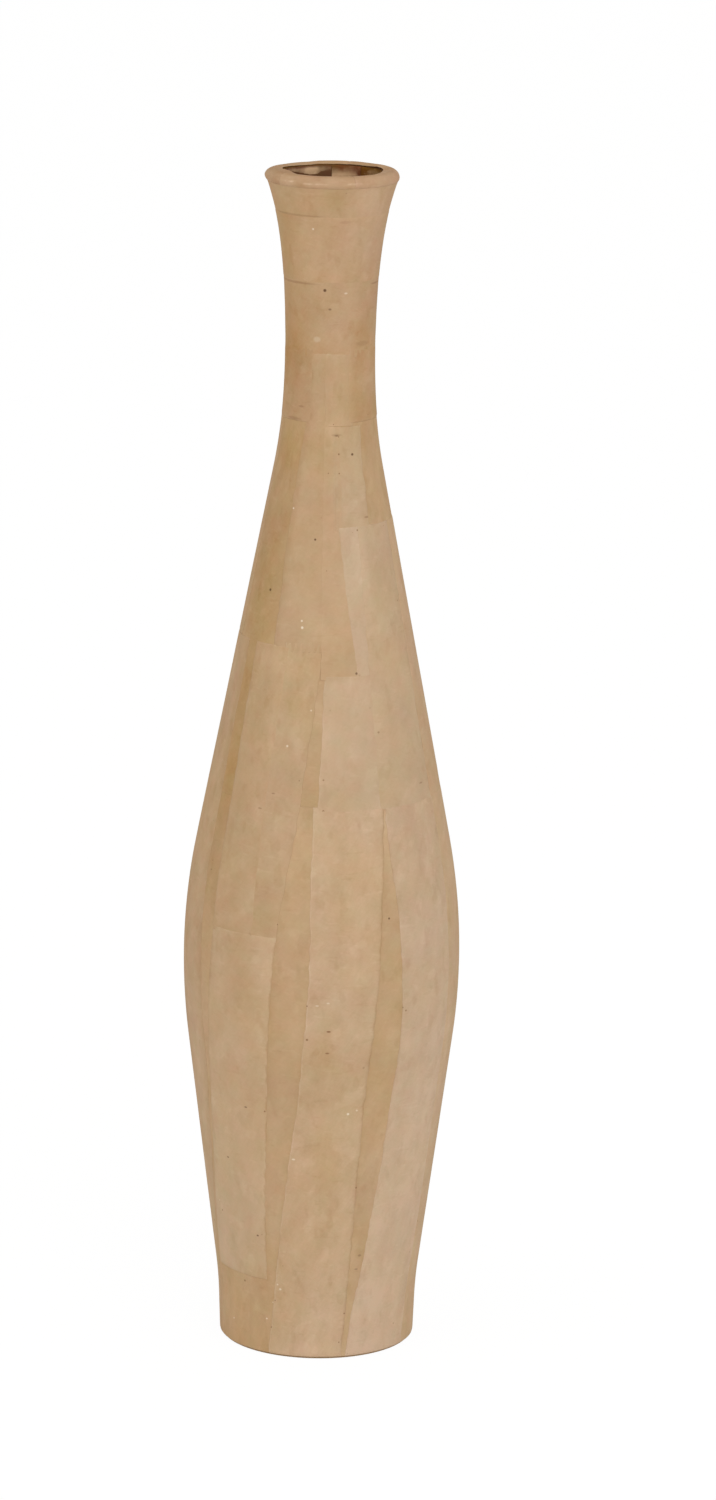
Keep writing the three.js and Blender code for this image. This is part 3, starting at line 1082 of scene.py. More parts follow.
    def dotted(self, bench: NodeBench, sheet: Socket, edge: Socket, colour: Socket) -> Socket:
        """Scatter small bits over a colour, more of the dark ones near an edge.

        Args:
            bench: The material being laid out.
            sheet: Place on the flat sheet.
            edge: Distance to the free edge, in mm.
            colour: Colour without the bits.

        Returns:
            The socket of the dotted colour.
        """
        near = bench.times(bench.math("SUBTRACT", 3.2, edge), 0.5, clamp=True)
        frayed = bench.times(bench.dots(sheet, 2.3, self.dark_share * 2.4, 0.5), near)
        dark = bench.math("MAXIMUM", bench.dots(sheet, 5.5, self.dark_share, 0.55), frayed)
        colour = bench.blend(bench.times(dark, 0.8), colour, DARK_DOT)
        return bench.blend(bench.dots(sheet, 7.3, self.light_share, 0.6), colour, PALE_DOT)

    def edge_dirt_and_painted_light(self, bench: NodeBench, sheet: Socket, edge: Socket, rim: Socket) -> Socket:
        """Broken line along a sheet's edge: dirt and loose fibres, with the painted highlight and shadow
        of the edge's step.

        Args:
            bench: The material being laid out.
            sheet: Place on the flat sheet.
            edge: Distance to the free edge, in mm.
            rim: Shade of the line, dark for painted shadow and dirt, pale for painted highlight and
                fibres.

        Returns:
            The socket of the change of shade.
        """
        jitter = bench.times(bench.cloud(sheet, 3.4, 3.0, 0.75), 1.5)
        reach = bench.math("SUBTRACT", 0.75, bench.math("ADD", edge, jitter))
        line = bench.times(reach, 2.2, clamp=True)
        gaps = bench.times(bench.cloud(sheet, 9.0, 3.0), 6.0)
        broken = bench.math("ADD", gaps, 0.6, clamp=True)
        # Painted highlight: the edge glow runs along every free edge, and the rim shade adds the painted
        # highlight and shadow of the edge's step, with dirt.
        amount = bench.math("ADD", bench.times(rim, broken), self.edge_glow)
        return bench.times(amount, line)

    def spotted(self, bench: NodeBench, colour: Socket, outline: Outline) -> Socket:
        """Add the single specks to a colour.

        Args:
            bench: The material being laid out.
            colour: Colour without the specks.
            outline: The vase's outline.

        Returns:
            The socket of the speckled colour.
        """
        if not self.specks:
            return colour
        place = bench.add("ShaderNodeTexCoord").outputs["Object"]
        for speck in self.specks:
            turn = math.radians(speck.angle)
            radius = outline.radius(speck.height)
            node = bench.add("ShaderNodeVectorMath", operation="DISTANCE")
            wide = 1.0 / speck.stretch
            bench.feed(node.inputs[0], bench.stretch(place, (wide, wide, 1.0)))
            node.inputs[1].default_value = (
                radius * math.sin(turn) * wide * MM,
                -radius * math.cos(turn) * wide * MM,
                speck.height * MM,
            )
            away = bench.math("DIVIDE", node.outputs["Value"], speck.size * MM)
            near = bench.math("SUBTRACT", 1.0, away)
            mask = bench.times(near, 2.2, clamp=True)
            colour = bench.blend(bench.times(mask, speck.strength), colour, speck.shade)
        return colour


KRAFT = PaperFinish("kraft", linear((171, 135, 94)), linear((213, 184, 151)), specks=SPECKS)
UNDER = PaperFinish(
    "ochre_kraft", linear((169, 134, 92)), linear((211, 180, 144)), edge_glow=0.0, specks=UNDER_SPECKS
)
SCRAP = PaperFinish("scrap", linear((110, 74, 40)), linear((240, 204, 160)), mottle=0.6)
PULP = PaperFinish(
    "pulp", linear((104, 78, 52)), linear((176, 142, 104)), mottle=2.0, grain=0.5, relief=0.4
)
CARD = PaperFinish("card", linear((150, 118, 80)), linear((190, 158, 120)), edge_glow=0.0)
# The rolled ring's brown is kept dark: where it shows in the gap under the wraps' inner ends, it paints
# the shade of that gap.
ROLLED = PaperFinish("rolled", linear((124, 81, 38)), linear((184, 132, 68)), mottle=1.2, edge_glow=0.0)


def new_piece(
    name: str,
    places: list[tuple[float, ...]],
    faces: list[Face],
    finish: Material,
    smooth: bool = True,
) -> Piece:
    """Make an object from points and faces.

    Args:
        name: Name of the object.
        places: The points, in metres.
        faces: The faces, as numbers of points.
        finish: Material of the object.
        smooth: Whether the faces are shaded as one smooth surface.

    Returns:
        The new object, linked to the scene.
    """
    mesh = bpy.data.meshes.new(name)
    mesh.from_pydata(places, [], faces)
    mesh.materials.append(finish)
    if smooth:
        mesh.polygons.foreach_set("use_smooth", [True] * len(mesh.polygons))
    mesh.update()
    piece = bpy.data.objects.new(name, mesh)
    bpy.context.collection.objects.link(piece)
    return piece


def stand_for(piece: Piece, node: str) -> Piece:
    """Let a piece ride on the part and stand for one of its nodes.

    Args:
        piece: The piece.
        node: Name of the node.

    Returns:
        The same piece.
    """
    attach(piece, "root")
    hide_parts(node)
    LOG.info("%s: %d points, stands for %s", piece.name, len(piece.data.vertices), node)
    return piece


@dataclass
class Studio:
    """Floor, lamps and camera."""

    floor_side: float = 6.0
    floor_tint: Triple = (0.82, 0.82, 0.82)
    floor_glow: float = 1.03
    glow_share: float = 0.93
    surround_tint: Triple = (1.0, 0.98, 0.95)
    surround_strength: float = 0.7
    lamp_aim: Triple = (0.0, 0.0, 0.2)
    camera_place: Triple = (0.0, -2297.6, 777.97)
    camera_pitch: float = 13.4917
    camera_yaw: float = 0.3118
    camera_roll: float = 0.895
    camera_lens: float = 152.09
    lamps: list[Piece] = field(default_factory=list)

    def floor(self) -> None:
        """Lay a plain pale floor that turns white to the camera."""
        bench = NodeBench(bpy.data.materials.new("pale_floor"))
        dull = bench.add("ShaderNodeBsdfDiffuse")
        dull.inputs["Color"].default_value = (*self.floor_tint, 1.0)
        glow = bench.add("ShaderNodeEmission")
        glow.inputs["Strength"].default_value = self.floor_glow
        amount = bench.times(bench.seen_direct(), self.glow_share)
        bench.close_mixed(amount, dull, glow, "ShaderNodeOutputMaterial")
        side = self.floor_side
        corners = [(-side, -side, 0.0), (side, -side, 0.0), (side, side, 0.0), (-side, side, 0.0)]
        new_piece("floor", corners, [(0, 1, 2, 3)], bench.owner, smooth=False)

    def world(self) -> None:
        """Give an even pale surround that is white to the camera."""
        world = bpy.data.worlds.new("studio")
        bpy.context.scene.world = world
        bench = NodeBench(world)
        surround = bench.add("ShaderNodeBackground")
        surround.inputs["Color"].default_value = (*self.surround_tint, 1.0)
        surround.inputs["Strength"].default_value = self.surround_strength
        white = bench.add("ShaderNodeBackground")
        white.inputs["Strength"].default_value = 1.0
        bench.close_mixed(bench.seen_direct(), surround, white, "ShaderNodeOutputWorld")

    def lamp(self, name: str, place: Triple, size: float, power: float, tint: Colour) -> None:
        """Hang one soft square lamp that faces the vase.

        Args:
            name: Name of the lamp.
            place: Where it hangs, in metres.
            size: Side of the lamp, in metres.
            power: Power in watts.
            tint: Colour of the light.
        """
        data = bpy.data.lights.new(name, "AREA")
        data.shape = "SQUARE"
        data.size = size
        data.energy = power
        data.color = tint
        lamp = bpy.data.objects.new(name, data)
        lamp.location = place
        aim = Vector(self.lamp_aim) - Vector(place)
        lamp.rotation_euler = aim.to_track_quat("-Z", "Y").to_euler()
        bpy.context.collection.objects.link(lamp)
        self.lamps.append(lamp)

    def lights(self) -> None:
        """Light the vase softly from the front, a little from the right."""
        self.lamp("key_lamp", (1.1, -2.3, 1.5), 1.8, 20.6, (1.0, 0.995, 0.985))
        self.lamp("fill_lamp", (-1.9, -1.2, 1.0), 1.8, 7.4, (1.0, 0.985, 0.96))

    def camera(self) -> None:
        """Set the camera where the photograph was taken from."""
        data = bpy.data.cameras.new("camera")
        data.sensor_width = 36.0
        data.lens = self.camera_lens
        camera = bpy.data.objects.new("camera", data)
        turn = Matrix.Rotation(math.radians(-self.camera_yaw), 4, "Z")
        tilt = Matrix.Rotation(math.radians(90.0 - self.camera_pitch), 4, "X")
        roll = Matrix.Rotation(math.radians(self.camera_roll), 4, "Z")
        camera.matrix_world = Matrix.Translation(Vector(self.camera_place) * MM) @ turn @ tilt @ roll
        bpy.context.collection.objects.link(camera)
        bpy.context.scene.camera = camera

    def build(self) -> None:
        """Set up the whole studio."""
        bpy.context.scene.view_settings.view_transform = "Standard"
        self.floor()
        self.world()
        self.lights()
        self.camera()
        LOG.info("studio: floor, %d lamps and camera", len(self.lamps))


@dataclass
class Point:
    """Outer and inner place of one grid point of a sheet, with its marks."""

    outer: Vector
    inner: Vector
    flat: tuple[float, float]
    edge: float
    shade: Shade
    rim: float = 0.0


def write_marks(
    mesh: bpy.types.Mesh,
    flat: list[float],
    shades: list[Shade],
    edge: list[float],
    rim: list[float] | None = None,
) -> None:
    """Write the values that the paper finishes read from a mesh.

    Args:
        mesh: The mesh that gets the values.
        flat: Place on the flat sheet, three numbers for each point.
        shades: Shade of each point.
        edge: Distance of each point to the sheet's free edge, in mm.
        rim: Shade of the line along the nearest edge, or nothing for none.
    """
    tone = [shade.tone for shade in shades]
    cast = [value for shade in shades for value in (shade.warm, shade.pink, shade.vigour)]
    mesh.attributes.new("sheet", "FLOAT_VECTOR", "POINT").data.foreach_set("vector", flat)
    mesh.attributes.new("tone", "FLOAT", "POINT").data.foreach_set("value", tone)
    mesh.attributes.new("edge", "FLOAT", "POINT").data.foreach_set("value", edge)
    mesh.attributes.new("cast", "FLOAT_VECTOR", "POINT").data.foreach_set("vector", cast)
    mesh.attributes.new("rim", "FLOAT", "POINT").data.foreach_set("value", rim or [0.0] * len(edge))


@dataclass
class SheetMesh:
    """Closed thin shell made from a grid of points, with a seed for the paper's pattern."""

    name: str
    seed: float
    sheet_step: float = 37.0

    def close(self, rows: list[list[Point]], finish: Material) -> Piece:
        """Join the grid into a closed shell.

        Args:
            rows: Points from the bottom up, each row from left to right.
            finish: Material of the shell.

        Returns:
            The new object.
        """
        wide = len(rows[0])
        tall = len(rows)
        points = [point for row in rows for point in row]
        half = len(points)
        places = [tuple(point.outer * MM) for point in points]
        places += [tuple(point.inner * MM) for point in points]
        faces: list[Face] = []
        for i in range(tall - 1):
            for j in range(wide - 1):
                a = i * wide + j
                b, c, d = a + 1, a + wide + 1, a + wide
                faces.append((a, b, c, d))
                faces.append((half + a, half + d, half + c, half + b))
        border = list(range(wide))
        border += [i * wide + wide - 1 for i in range(1, tall)]
        border += [(tall - 1) * wide + j for j in range(wide - 2, -1, -1)]
        border += [i * wide for i in range(tall - 2, 0, -1)]
        for here, after in zip(border, border[1:] + border[:1]):
            faces.append((here, half + here, half + after, after))
        piece = new_piece(self.name, places, faces, finish)
        self.mark(piece.data, points)
        return piece

    def mark(self, mesh: bpy.types.Mesh, points: list[Point]) -> None:
        """Write the sheet place, tone and edge distance of each point.

        Args:
            mesh: The mesh that gets the marks.
            points: The grid points, in the order of the mesh.
        """
        both = points + points
        flat: list[float] = []
        for point in both:
            flat.extend((*point.flat, self.seed * self.sheet_step))
        shades = [point.shade for point in both]
        write_marks(mesh, flat, shades, [point.edge for point in both], [point.rim for point in both])


def spaced(length: float, step: float) -> list[float]:
    """Distances from one end of a sheet to the other, closer at its ends.

    Args:
        length: Length of the sheet, in mm.
        step: Spacing in the middle, in mm.

    Returns:
        Distances from 0 to 1, as shares of the length.
    """
    near = [0.0, 0.22, 0.55, 1.0, 1.7]
    near = [value for value in near if value < length * 0.2]
    inner = length - 2 * near[-1]
    count = max(2, round(inner / step))
    middle = [near[-1] + inner * k / count for k in range(1, count)]
    far = [length - value for value in reversed(near)]
    return [value / length for value in near + middle + far]


@dataclass
class Strip:
    """One pasted paper strip, patch or band that follows the outline.

    A tucked side runs on under its neighbour by the lap, a quiet side is
    feathered out, and a side that melts fades to another tone. The rims are
    the shades of the lines along the left, right, bottom and top edge: dirt and
    fibres, and the painted highlight and shadow of each edge's step. Strips
    with the same grain share one pattern, as wide as at the grain's height.
    The tone rises from the bottom to the top, and points are a step apart
    across and a climb apart upward.
    """

    name: str
    bottom: float
    top: float
    left: Edge
    right: Edge
    tone: float = 0.5
    layer: Layer = Layer.OVER
    tucked: Side = Side.NONE
    lap: float = 1.6
    wobble: float = 0.3
    melt: Side = Side.NONE
    quiet: Side = Side.NONE
    # Edge line shades: painted highlight and shadow of each edge's step, with dirt and fibres.
    rims: Sides = (0.0, 0.0, 0.0, 0.0)
    fade: float = 1.3
    fade_tone: float = 0.45
    rise: float = 0.0
    warm: float = 0.0
    pink: float = 0.0
    vigour: float = 1.0
    grain: float = 0.0
    grain_height: float = 0.0
    marks: tuple[Mark, ...] = STAIN_AND_LIGHT_PATCHES
    step: float = 2.0
    climb: float = 1.3

    @staticmethod
    def nearest(gaps: Sides, sides: Side) -> float:
        """Distance to the nearest of some sides, in mm.

        Args:
            gaps: Distances to the left, right, bottom and top edge.
            sides: The sides that count.

        Returns:
            The least distance, or 9 where no side counts.
        """
        order = (Side.LEFT, Side.RIGHT, Side.BOTTOM, Side.TOP)
        return min((gap for gap, side in zip(gaps, order) if side in sides), default=NO_SUCH_EDGE)

    def build(self, build: Build, seed: float, finish: Material, slot: Slot) -> Piece:
        """Make the sheet and let it stand for its node.

        Args:
            build: Thicknesses of the lay-up.
            seed: Number of the sheet.
            finish: Material of the sheet.
            slot: Material slot of the part; not used.

        Returns:
            The new object.
        """
        outline = build.outline
        widths = []
        for share in (0.0, 0.25, 0.5, 0.75, 1.0):
            z = self.bottom + (self.top - self.bottom) * share
            widths.append(math.radians(self.right.angle(z) - self.left.angle(z)) * outline.radius(z))
        across = spaced(max(widths), self.step)
        along = spaced(self.top - self.bottom, self.climb)
        rows = [self.row(build, seed, share, across) for share in along]
        piece = SheetMesh(f"{self.name}_paper", self.grain or seed).close(rows, finish)
        return stand_for(piece, self.name)

    @staticmethod
    def raggedness(side: float, z: float, seed: float, own: float) -> float:
        """Unevenness of a torn side edge.

        Args:
            side: Number of the side.
            z: Height, in mm.
            seed: Number of the sheet.
            own: Shift of the long waves, which differ from side to side.

        Returns:
            Long and short waves together, from about -2.5 to 2.5.
        """
        return ripple(side, z, seed + own, 1.0, 11.0) + 1.5 * ripple(side, z, seed, 1.0, 3.1)

    def row(self, build: Build, seed: float, share: float, across: list[float]) -> list[Point]:
        """Points of one row of the sheet.

        Args:
            build: Thicknesses of the lay-up.
            seed: Number of the sheet.
            share: Place of the row from the bottom, 0, to the top, 1.
            across: Places of the points from the left, 0, to the right, 1.

        Returns:
            The points from left to right.
        """
        outline = build.outline
        base = self.bottom + (self.top - self.bottom) * share
        girth = outline.radius(base)
        even = outline.radius(self.grain_height or (self.bottom + self.top) / 2) / girth
        reach_left = self.lap if Side.LEFT in self.tucked else 0.0
        reach_right = self.lap if Side.RIGHT in self.tucked else 0.0
        start = math.radians(self.left.angle(base)) * girth - reach_left
        end = math.radians(self.right.angle(base)) * girth + reach_right
        start += self.wobble * self.raggedness(0.0, base, seed, 0.3)
        end += self.wobble * self.raggedness(9.0, base, seed, 0.6)
        points = []
        for place in across:
            u = start + (end - start) * place
            low = self.bottom - (self.lap if Side.BOTTOM in self.tucked else 0.0)
            high = self.top + (self.lap if Side.TOP in self.tucked else 0.0)
            if self.bottom > 2.0:
                low += self.wobble * ripple(u, 0.0, seed + 0.1, 9.0, 1.0)
            high += self.wobble * ripple(u, 5.0, seed + 0.2, 9.0, 1.0)
            z = low + (high - low) * share
            gaps = (u - start, end - u, z - low, high - z)
            points.append(self.point(build, seed, girth, even, u, z, gaps))
        return points

    def point(
        self, build: Build, seed: float, girth: float, even: float, u: float, z: float, gaps: Sides
    ) -> Point:
        """One point of the sheet, with its depth below the outline.

        Args:
            build: Thicknesses of the lay-up.
            seed: Number of the sheet.
            girth: Radius of the vase at the row, in mm.
            even: Factor that brings all rows to the width of the flat sheet.
            u: Place along the girth, in mm.
            z: Height, in mm.
            gaps: Distances to the left, right, bottom and top edge, in mm.

        Returns:
            The finished point.
        """
        turn = u / girth
        free = self.nearest(gaps, ~(self.tucked | self.quiet))
        calm = self.nearest(gaps, self.quiet & ~self.tucked)
        hidden = self.nearest(gaps, self.tucked)
        broad = ripple(u, z, 1.0, 17.0, 31.0)
        fine = ripple(u, z, 2.0, 5.0, 8.0)
        swell = build.relief * (0.5 - 0.36 * broad - 0.14 * fine)
        if self.layer is Layer.OVER:
            sink = 1.0 - soft_step(self.lap, self.lap + 7.0, hidden)
            feather = max(1.0 - soft_step(0.0, 0.9, free), 1.0 - soft_step(0.0, 3.5, calm))
            depth = build.over_depth + (build.tuck_depth - build.over_depth) * sink
            depth = swell + max(depth, build.edge_depth * feather)
            thick = swell + build.under_depth + build.bond - depth
        else:
            depth = swell + build.under_depth
            thick = build.under_thick
        girth_radius = build.outline.radius(z)
        reach = self.fade * (1.0 + 0.5 * ripple(u, z, seed + 0.9, 3.0, 3.0))
        worn = 1.0 - soft_step(0.1, reach, self.nearest(gaps, self.melt))
        tone = self.tone + self.rise * (z - self.bottom) / (self.top - self.bottom)
        tone += (self.fade_tone - tone) * 0.85 * worn
        plain = Shade(tone, self.warm, self.pink, self.vigour)
        shade = shaded(plain, self.marks, turn, z, girth_radius)
        closest = min(range(4), key=lambda side: gaps[side])
        edge = min(free, gaps[closest] + 0.01, FAR_FROM_EDGE)
        radius = girth_radius - depth
        outer = around(radius, turn, z)
        inner = around(radius - thick, turn, z)
        return Point(outer, inner, (u * even, z), edge, shade, self.rims[closest])


@dataclass
class Core:
    """Moulded pulp core in two glued halves."""

    build_up: Build
    seams: Seams
    joint: float = 0.3
    rows: int = 120
    columns: int = 60
    mean_radius: float = 30.0
    seed: float = 3.0

    def build(self) -> list[Piece]:
        """Make both halves, rough inside.

        Returns:
            The left and the right half.
        """
        finish = PULP.material(self.build_up.outline)
        return [self.half("left", -180.0, finish), self.half("right", 0.0, finish)]

    def half(self, side: str, start: float, finish: Material) -> Piece:
        """Make one half shell.

        Args:
            side: Name of the side.
            start: Angle where the half begins.
            finish: Material of the half.

        Returns:
            The new object.
        """
        outline = self.build_up.outline
        low = self.seams.foot
        top = self.build_up.ring_foot - self.joint
        rows = []
        for step in range(self.rows + 1):
            z = low + (top - low) * step / self.rows
            outside = outline.radius(z) - self.build_up.core_depth
            inside = outline.radius(z) - self.build_up.inside_depth
            margin = math.degrees(self.joint / 2 / outside)
            row = []
            for k in range(self.columns + 1):
                turn = math.radians(start + margin + (180.0 - 2 * margin) * k / self.columns)
                u = turn * self.mean_radius
                rough = 0.35 * ripple(u, z, 3.0, 9.0, 9.0) + 0.2 * ripple(u, z, 4.0, 3.5, 3.5)
                shade = Shade(0.3 + 0.4 * ripple(u, z, 6.0, 14.0, 8.0))
                outer = around(outside, turn, z)
                inner = around(inside + rough, turn, z)
                row.append(Point(outer, inner, (u, z), FAR_FROM_EDGE, shade))
            rows.append(row)
        piece = SheetMesh(f"core_{side}_shell", self.seed).close(rows, finish)
        return stand_for(piece, f"core_half_{side}")


@dataclass
class Foot:
    """Card disc in the foot and the paper pasted under it."""

    build_up: Build
    cover_thick: float = 0.5
    cover_edge: float = 0.9
    disc_height: float = 0.8
    disc_thick: float = 2.0
    disc_gap: float = 0.3
    rings: int = 8
    segments: int = 96
    softness: float = 0.3
    pattern: float = 55.0

    def build(self) -> list[Piece]:
        """Make the cover paper and the disc.

        Returns:
            The cover paper and the disc.
        """
        outline = self.build_up.outline
        under = UNDER.material(outline)
        card = CARD.material(outline)
        low = self.disc_height
        inside = outline.radius(low) - self.build_up.inside_depth - self.disc_gap
        outside = outline.foot_radius - self.cover_edge
        cover = self.plate("base_cover_sheet", outside, 0.0, self.cover_thick, under)
        disc = self.plate("base_card_disc", inside, low, self.disc_thick, card)
        return [
            stand_for(cover, "base_cover_paper"),
            stand_for(disc, "base_disc"),
        ]

    def plate(self, name: str, radius: float, z: float, thick: float, finish: Material) -> Piece:
        """Make a round sheet with a softened rim.

        Args:
            name: Name of the object.
            radius: Radius, in mm.
            z: Height of its underside, in mm.
            thick: Thickness, in mm.
            finish: Material of the sheet.

        Returns:
            The new object.
        """
        soft = thick * self.softness
        top = z + thick
        rings = [(radius * k / self.rings, z) for k in range(1, self.rings)]
        rings += [(radius - soft, z), (radius, z + soft), (radius, top - soft), (radius - soft, top)]
        rings += [(radius * k / self.rings, top) for k in range(self.rings - 1, 0, -1)]
        count = self.segments
        places = [(0.0, 0.0, z * MM), (0.0, 0.0, top * MM)]
        for r, height in rings:
            for k in range(count):
                turn = 2 * math.pi * k / count
                places.append((r * math.cos(turn) * MM, r * math.sin(turn) * MM, height * MM))
        faces: list[Face] = []
        for i in range(len(rings) - 1):
            for k in range(count):
                a, b = 2 + i * count + k, 2 + i * count + (k + 1) % count
                faces.append((a, b, b + count, a + count))
        last = 2 + (len(rings) - 1) * count
        for k in range(count):
            faces.append((0, 2 + (k + 1) % count, 2 + k))
            faces.append((1, last + k, last + (k + 1) % count))
        flat: list[float] = []
        for place in places:
            flat.extend((place[0] / MM, place[1] / MM, self.pattern + z))
        piece = new_piece(name, places, faces, finish, smooth=False)
        write_marks(piece.data, flat, [Shade(0.4)] * len(places), [FAR_FROM_EDGE] * len(places))
        return piece


@dataclass(frozen=True)
class Scrap:
    """Scrap of paper pasted inside the mouth, from a start angle to an end angle.

    It hangs down by the drop. At its upper end it carries a painted shadow of the
    lip roll, which fades over a given reach along a curve with that bend, and below
    its hem it is painted dark as the shade deep in the neck. The tones and the hem
    are given at angles round the axis.
    """

    name: str
    start: float
    end: float
    drop: float
    # Reach, in mm, of the painted shadow that the lip roll casts on the scrap's upper end.
    painted_shadow_reach: float
    bend: float
    cast: Shade
    tones: Edge
    hem: Edge


SCRAPS = (
    Scrap(
        "mouth_scrap_far_left",
        start=181.4, end=245.0, drop=3.6, painted_shadow_reach=1.1, bend=1.0, cast=Shade(0.0, -0.5, 0.2),
        tones=Edge(
            (
                (182.0, 0.1), (188.0, 0.16), (193.0, 0.36), (198.0, 0.78), (209.0, 0.72), (217.0, 0.46),
                (245.0, 0.3),
            )
        ),
        hem=Edge(
            (
                (188.0, -0.8), (193.5, -1.1), (197.0, -1.9), (207.0, -1.8), (218.0, -1.25),
                (235.0, -0.1), (245.0, 0.6),
            )
        ),
    ),
    Scrap(
        "mouth_scrap_far_centre",
        start=146.6, end=181.1, drop=14.0, painted_shadow_reach=3.3, bend=2.0, cast=Shade(0.0, 0.5, 2.0),
        tones=Edge(
            ((147.0, -0.1), (151.0, 0.1), (156.0, 0.52), (162.0, 0.65), (173.0, 0.8), (181.0, 0.86))
        ),
        hem=Edge.straight(-9.0),
    ),
    Scrap(
        "mouth_scrap_far_right",
        start=95.0, end=146.2, drop=9.0, painted_shadow_reach=1.6, bend=1.0, cast=Shade(0.0, 3.2, 0.5),
        tones=Edge(
            ((100.0, 0.1), (118.0, 0.24), (126.0, 0.28), (136.0, 0.24), (141.0, 0.18), (146.0, -0.05))
        ),
        hem=Edge.straight(-6.0),
    ),
    Scrap(
        "mouth_scrap_near",
        start=-62.0, end=41.0, drop=21.0, painted_shadow_reach=1.0, bend=1.0, cast=Shade(0.0, 1.0, 0.3),
        tones=Edge.straight(0.6), hem=Edge.straight(-19.0),
    ),
)


# Tones of the rolled ring round the axis; the dark run from 138 to 160 degrees paints the deep shade at
# the back right of the mouth.
RING_TONES = Edge(
    (
        (-180.0, 0.3), (-128.0, 0.3), (-112.0, 0.65), (-96.0, 0.65), (-60.0, 0.3), (120.0, 0.25),
        (138.0, 0.0), (160.0, 0.0), (176.0, 0.25),
    )
)
LIP_DIPS = Edge(
    (
        (-180.0, 0.38), (-166.0, 0.38), (-156.0, 0.66), (-129.0, 0.66), (-114.0, 0.5), (-86.0, 0.2),
        (-76.0, 0.0), (62.0, 0.0), (80.0, 0.2), (122.0, 0.22), (136.0, 0.4), (146.0, 0.38),
        (156.0, 0.28), (180.0, 0.38),
    )
)
# Pale lines on the front of the lip, creases that also paint its highlight: middle across the front and
# half length in mm, roll angle in degrees.
LIP_CREASE_HIGHLIGHTS = ((-5.6, 4.6, 6.0), (9.0, 4.8, 9.0), (-15.5, 3.0, 12.0))


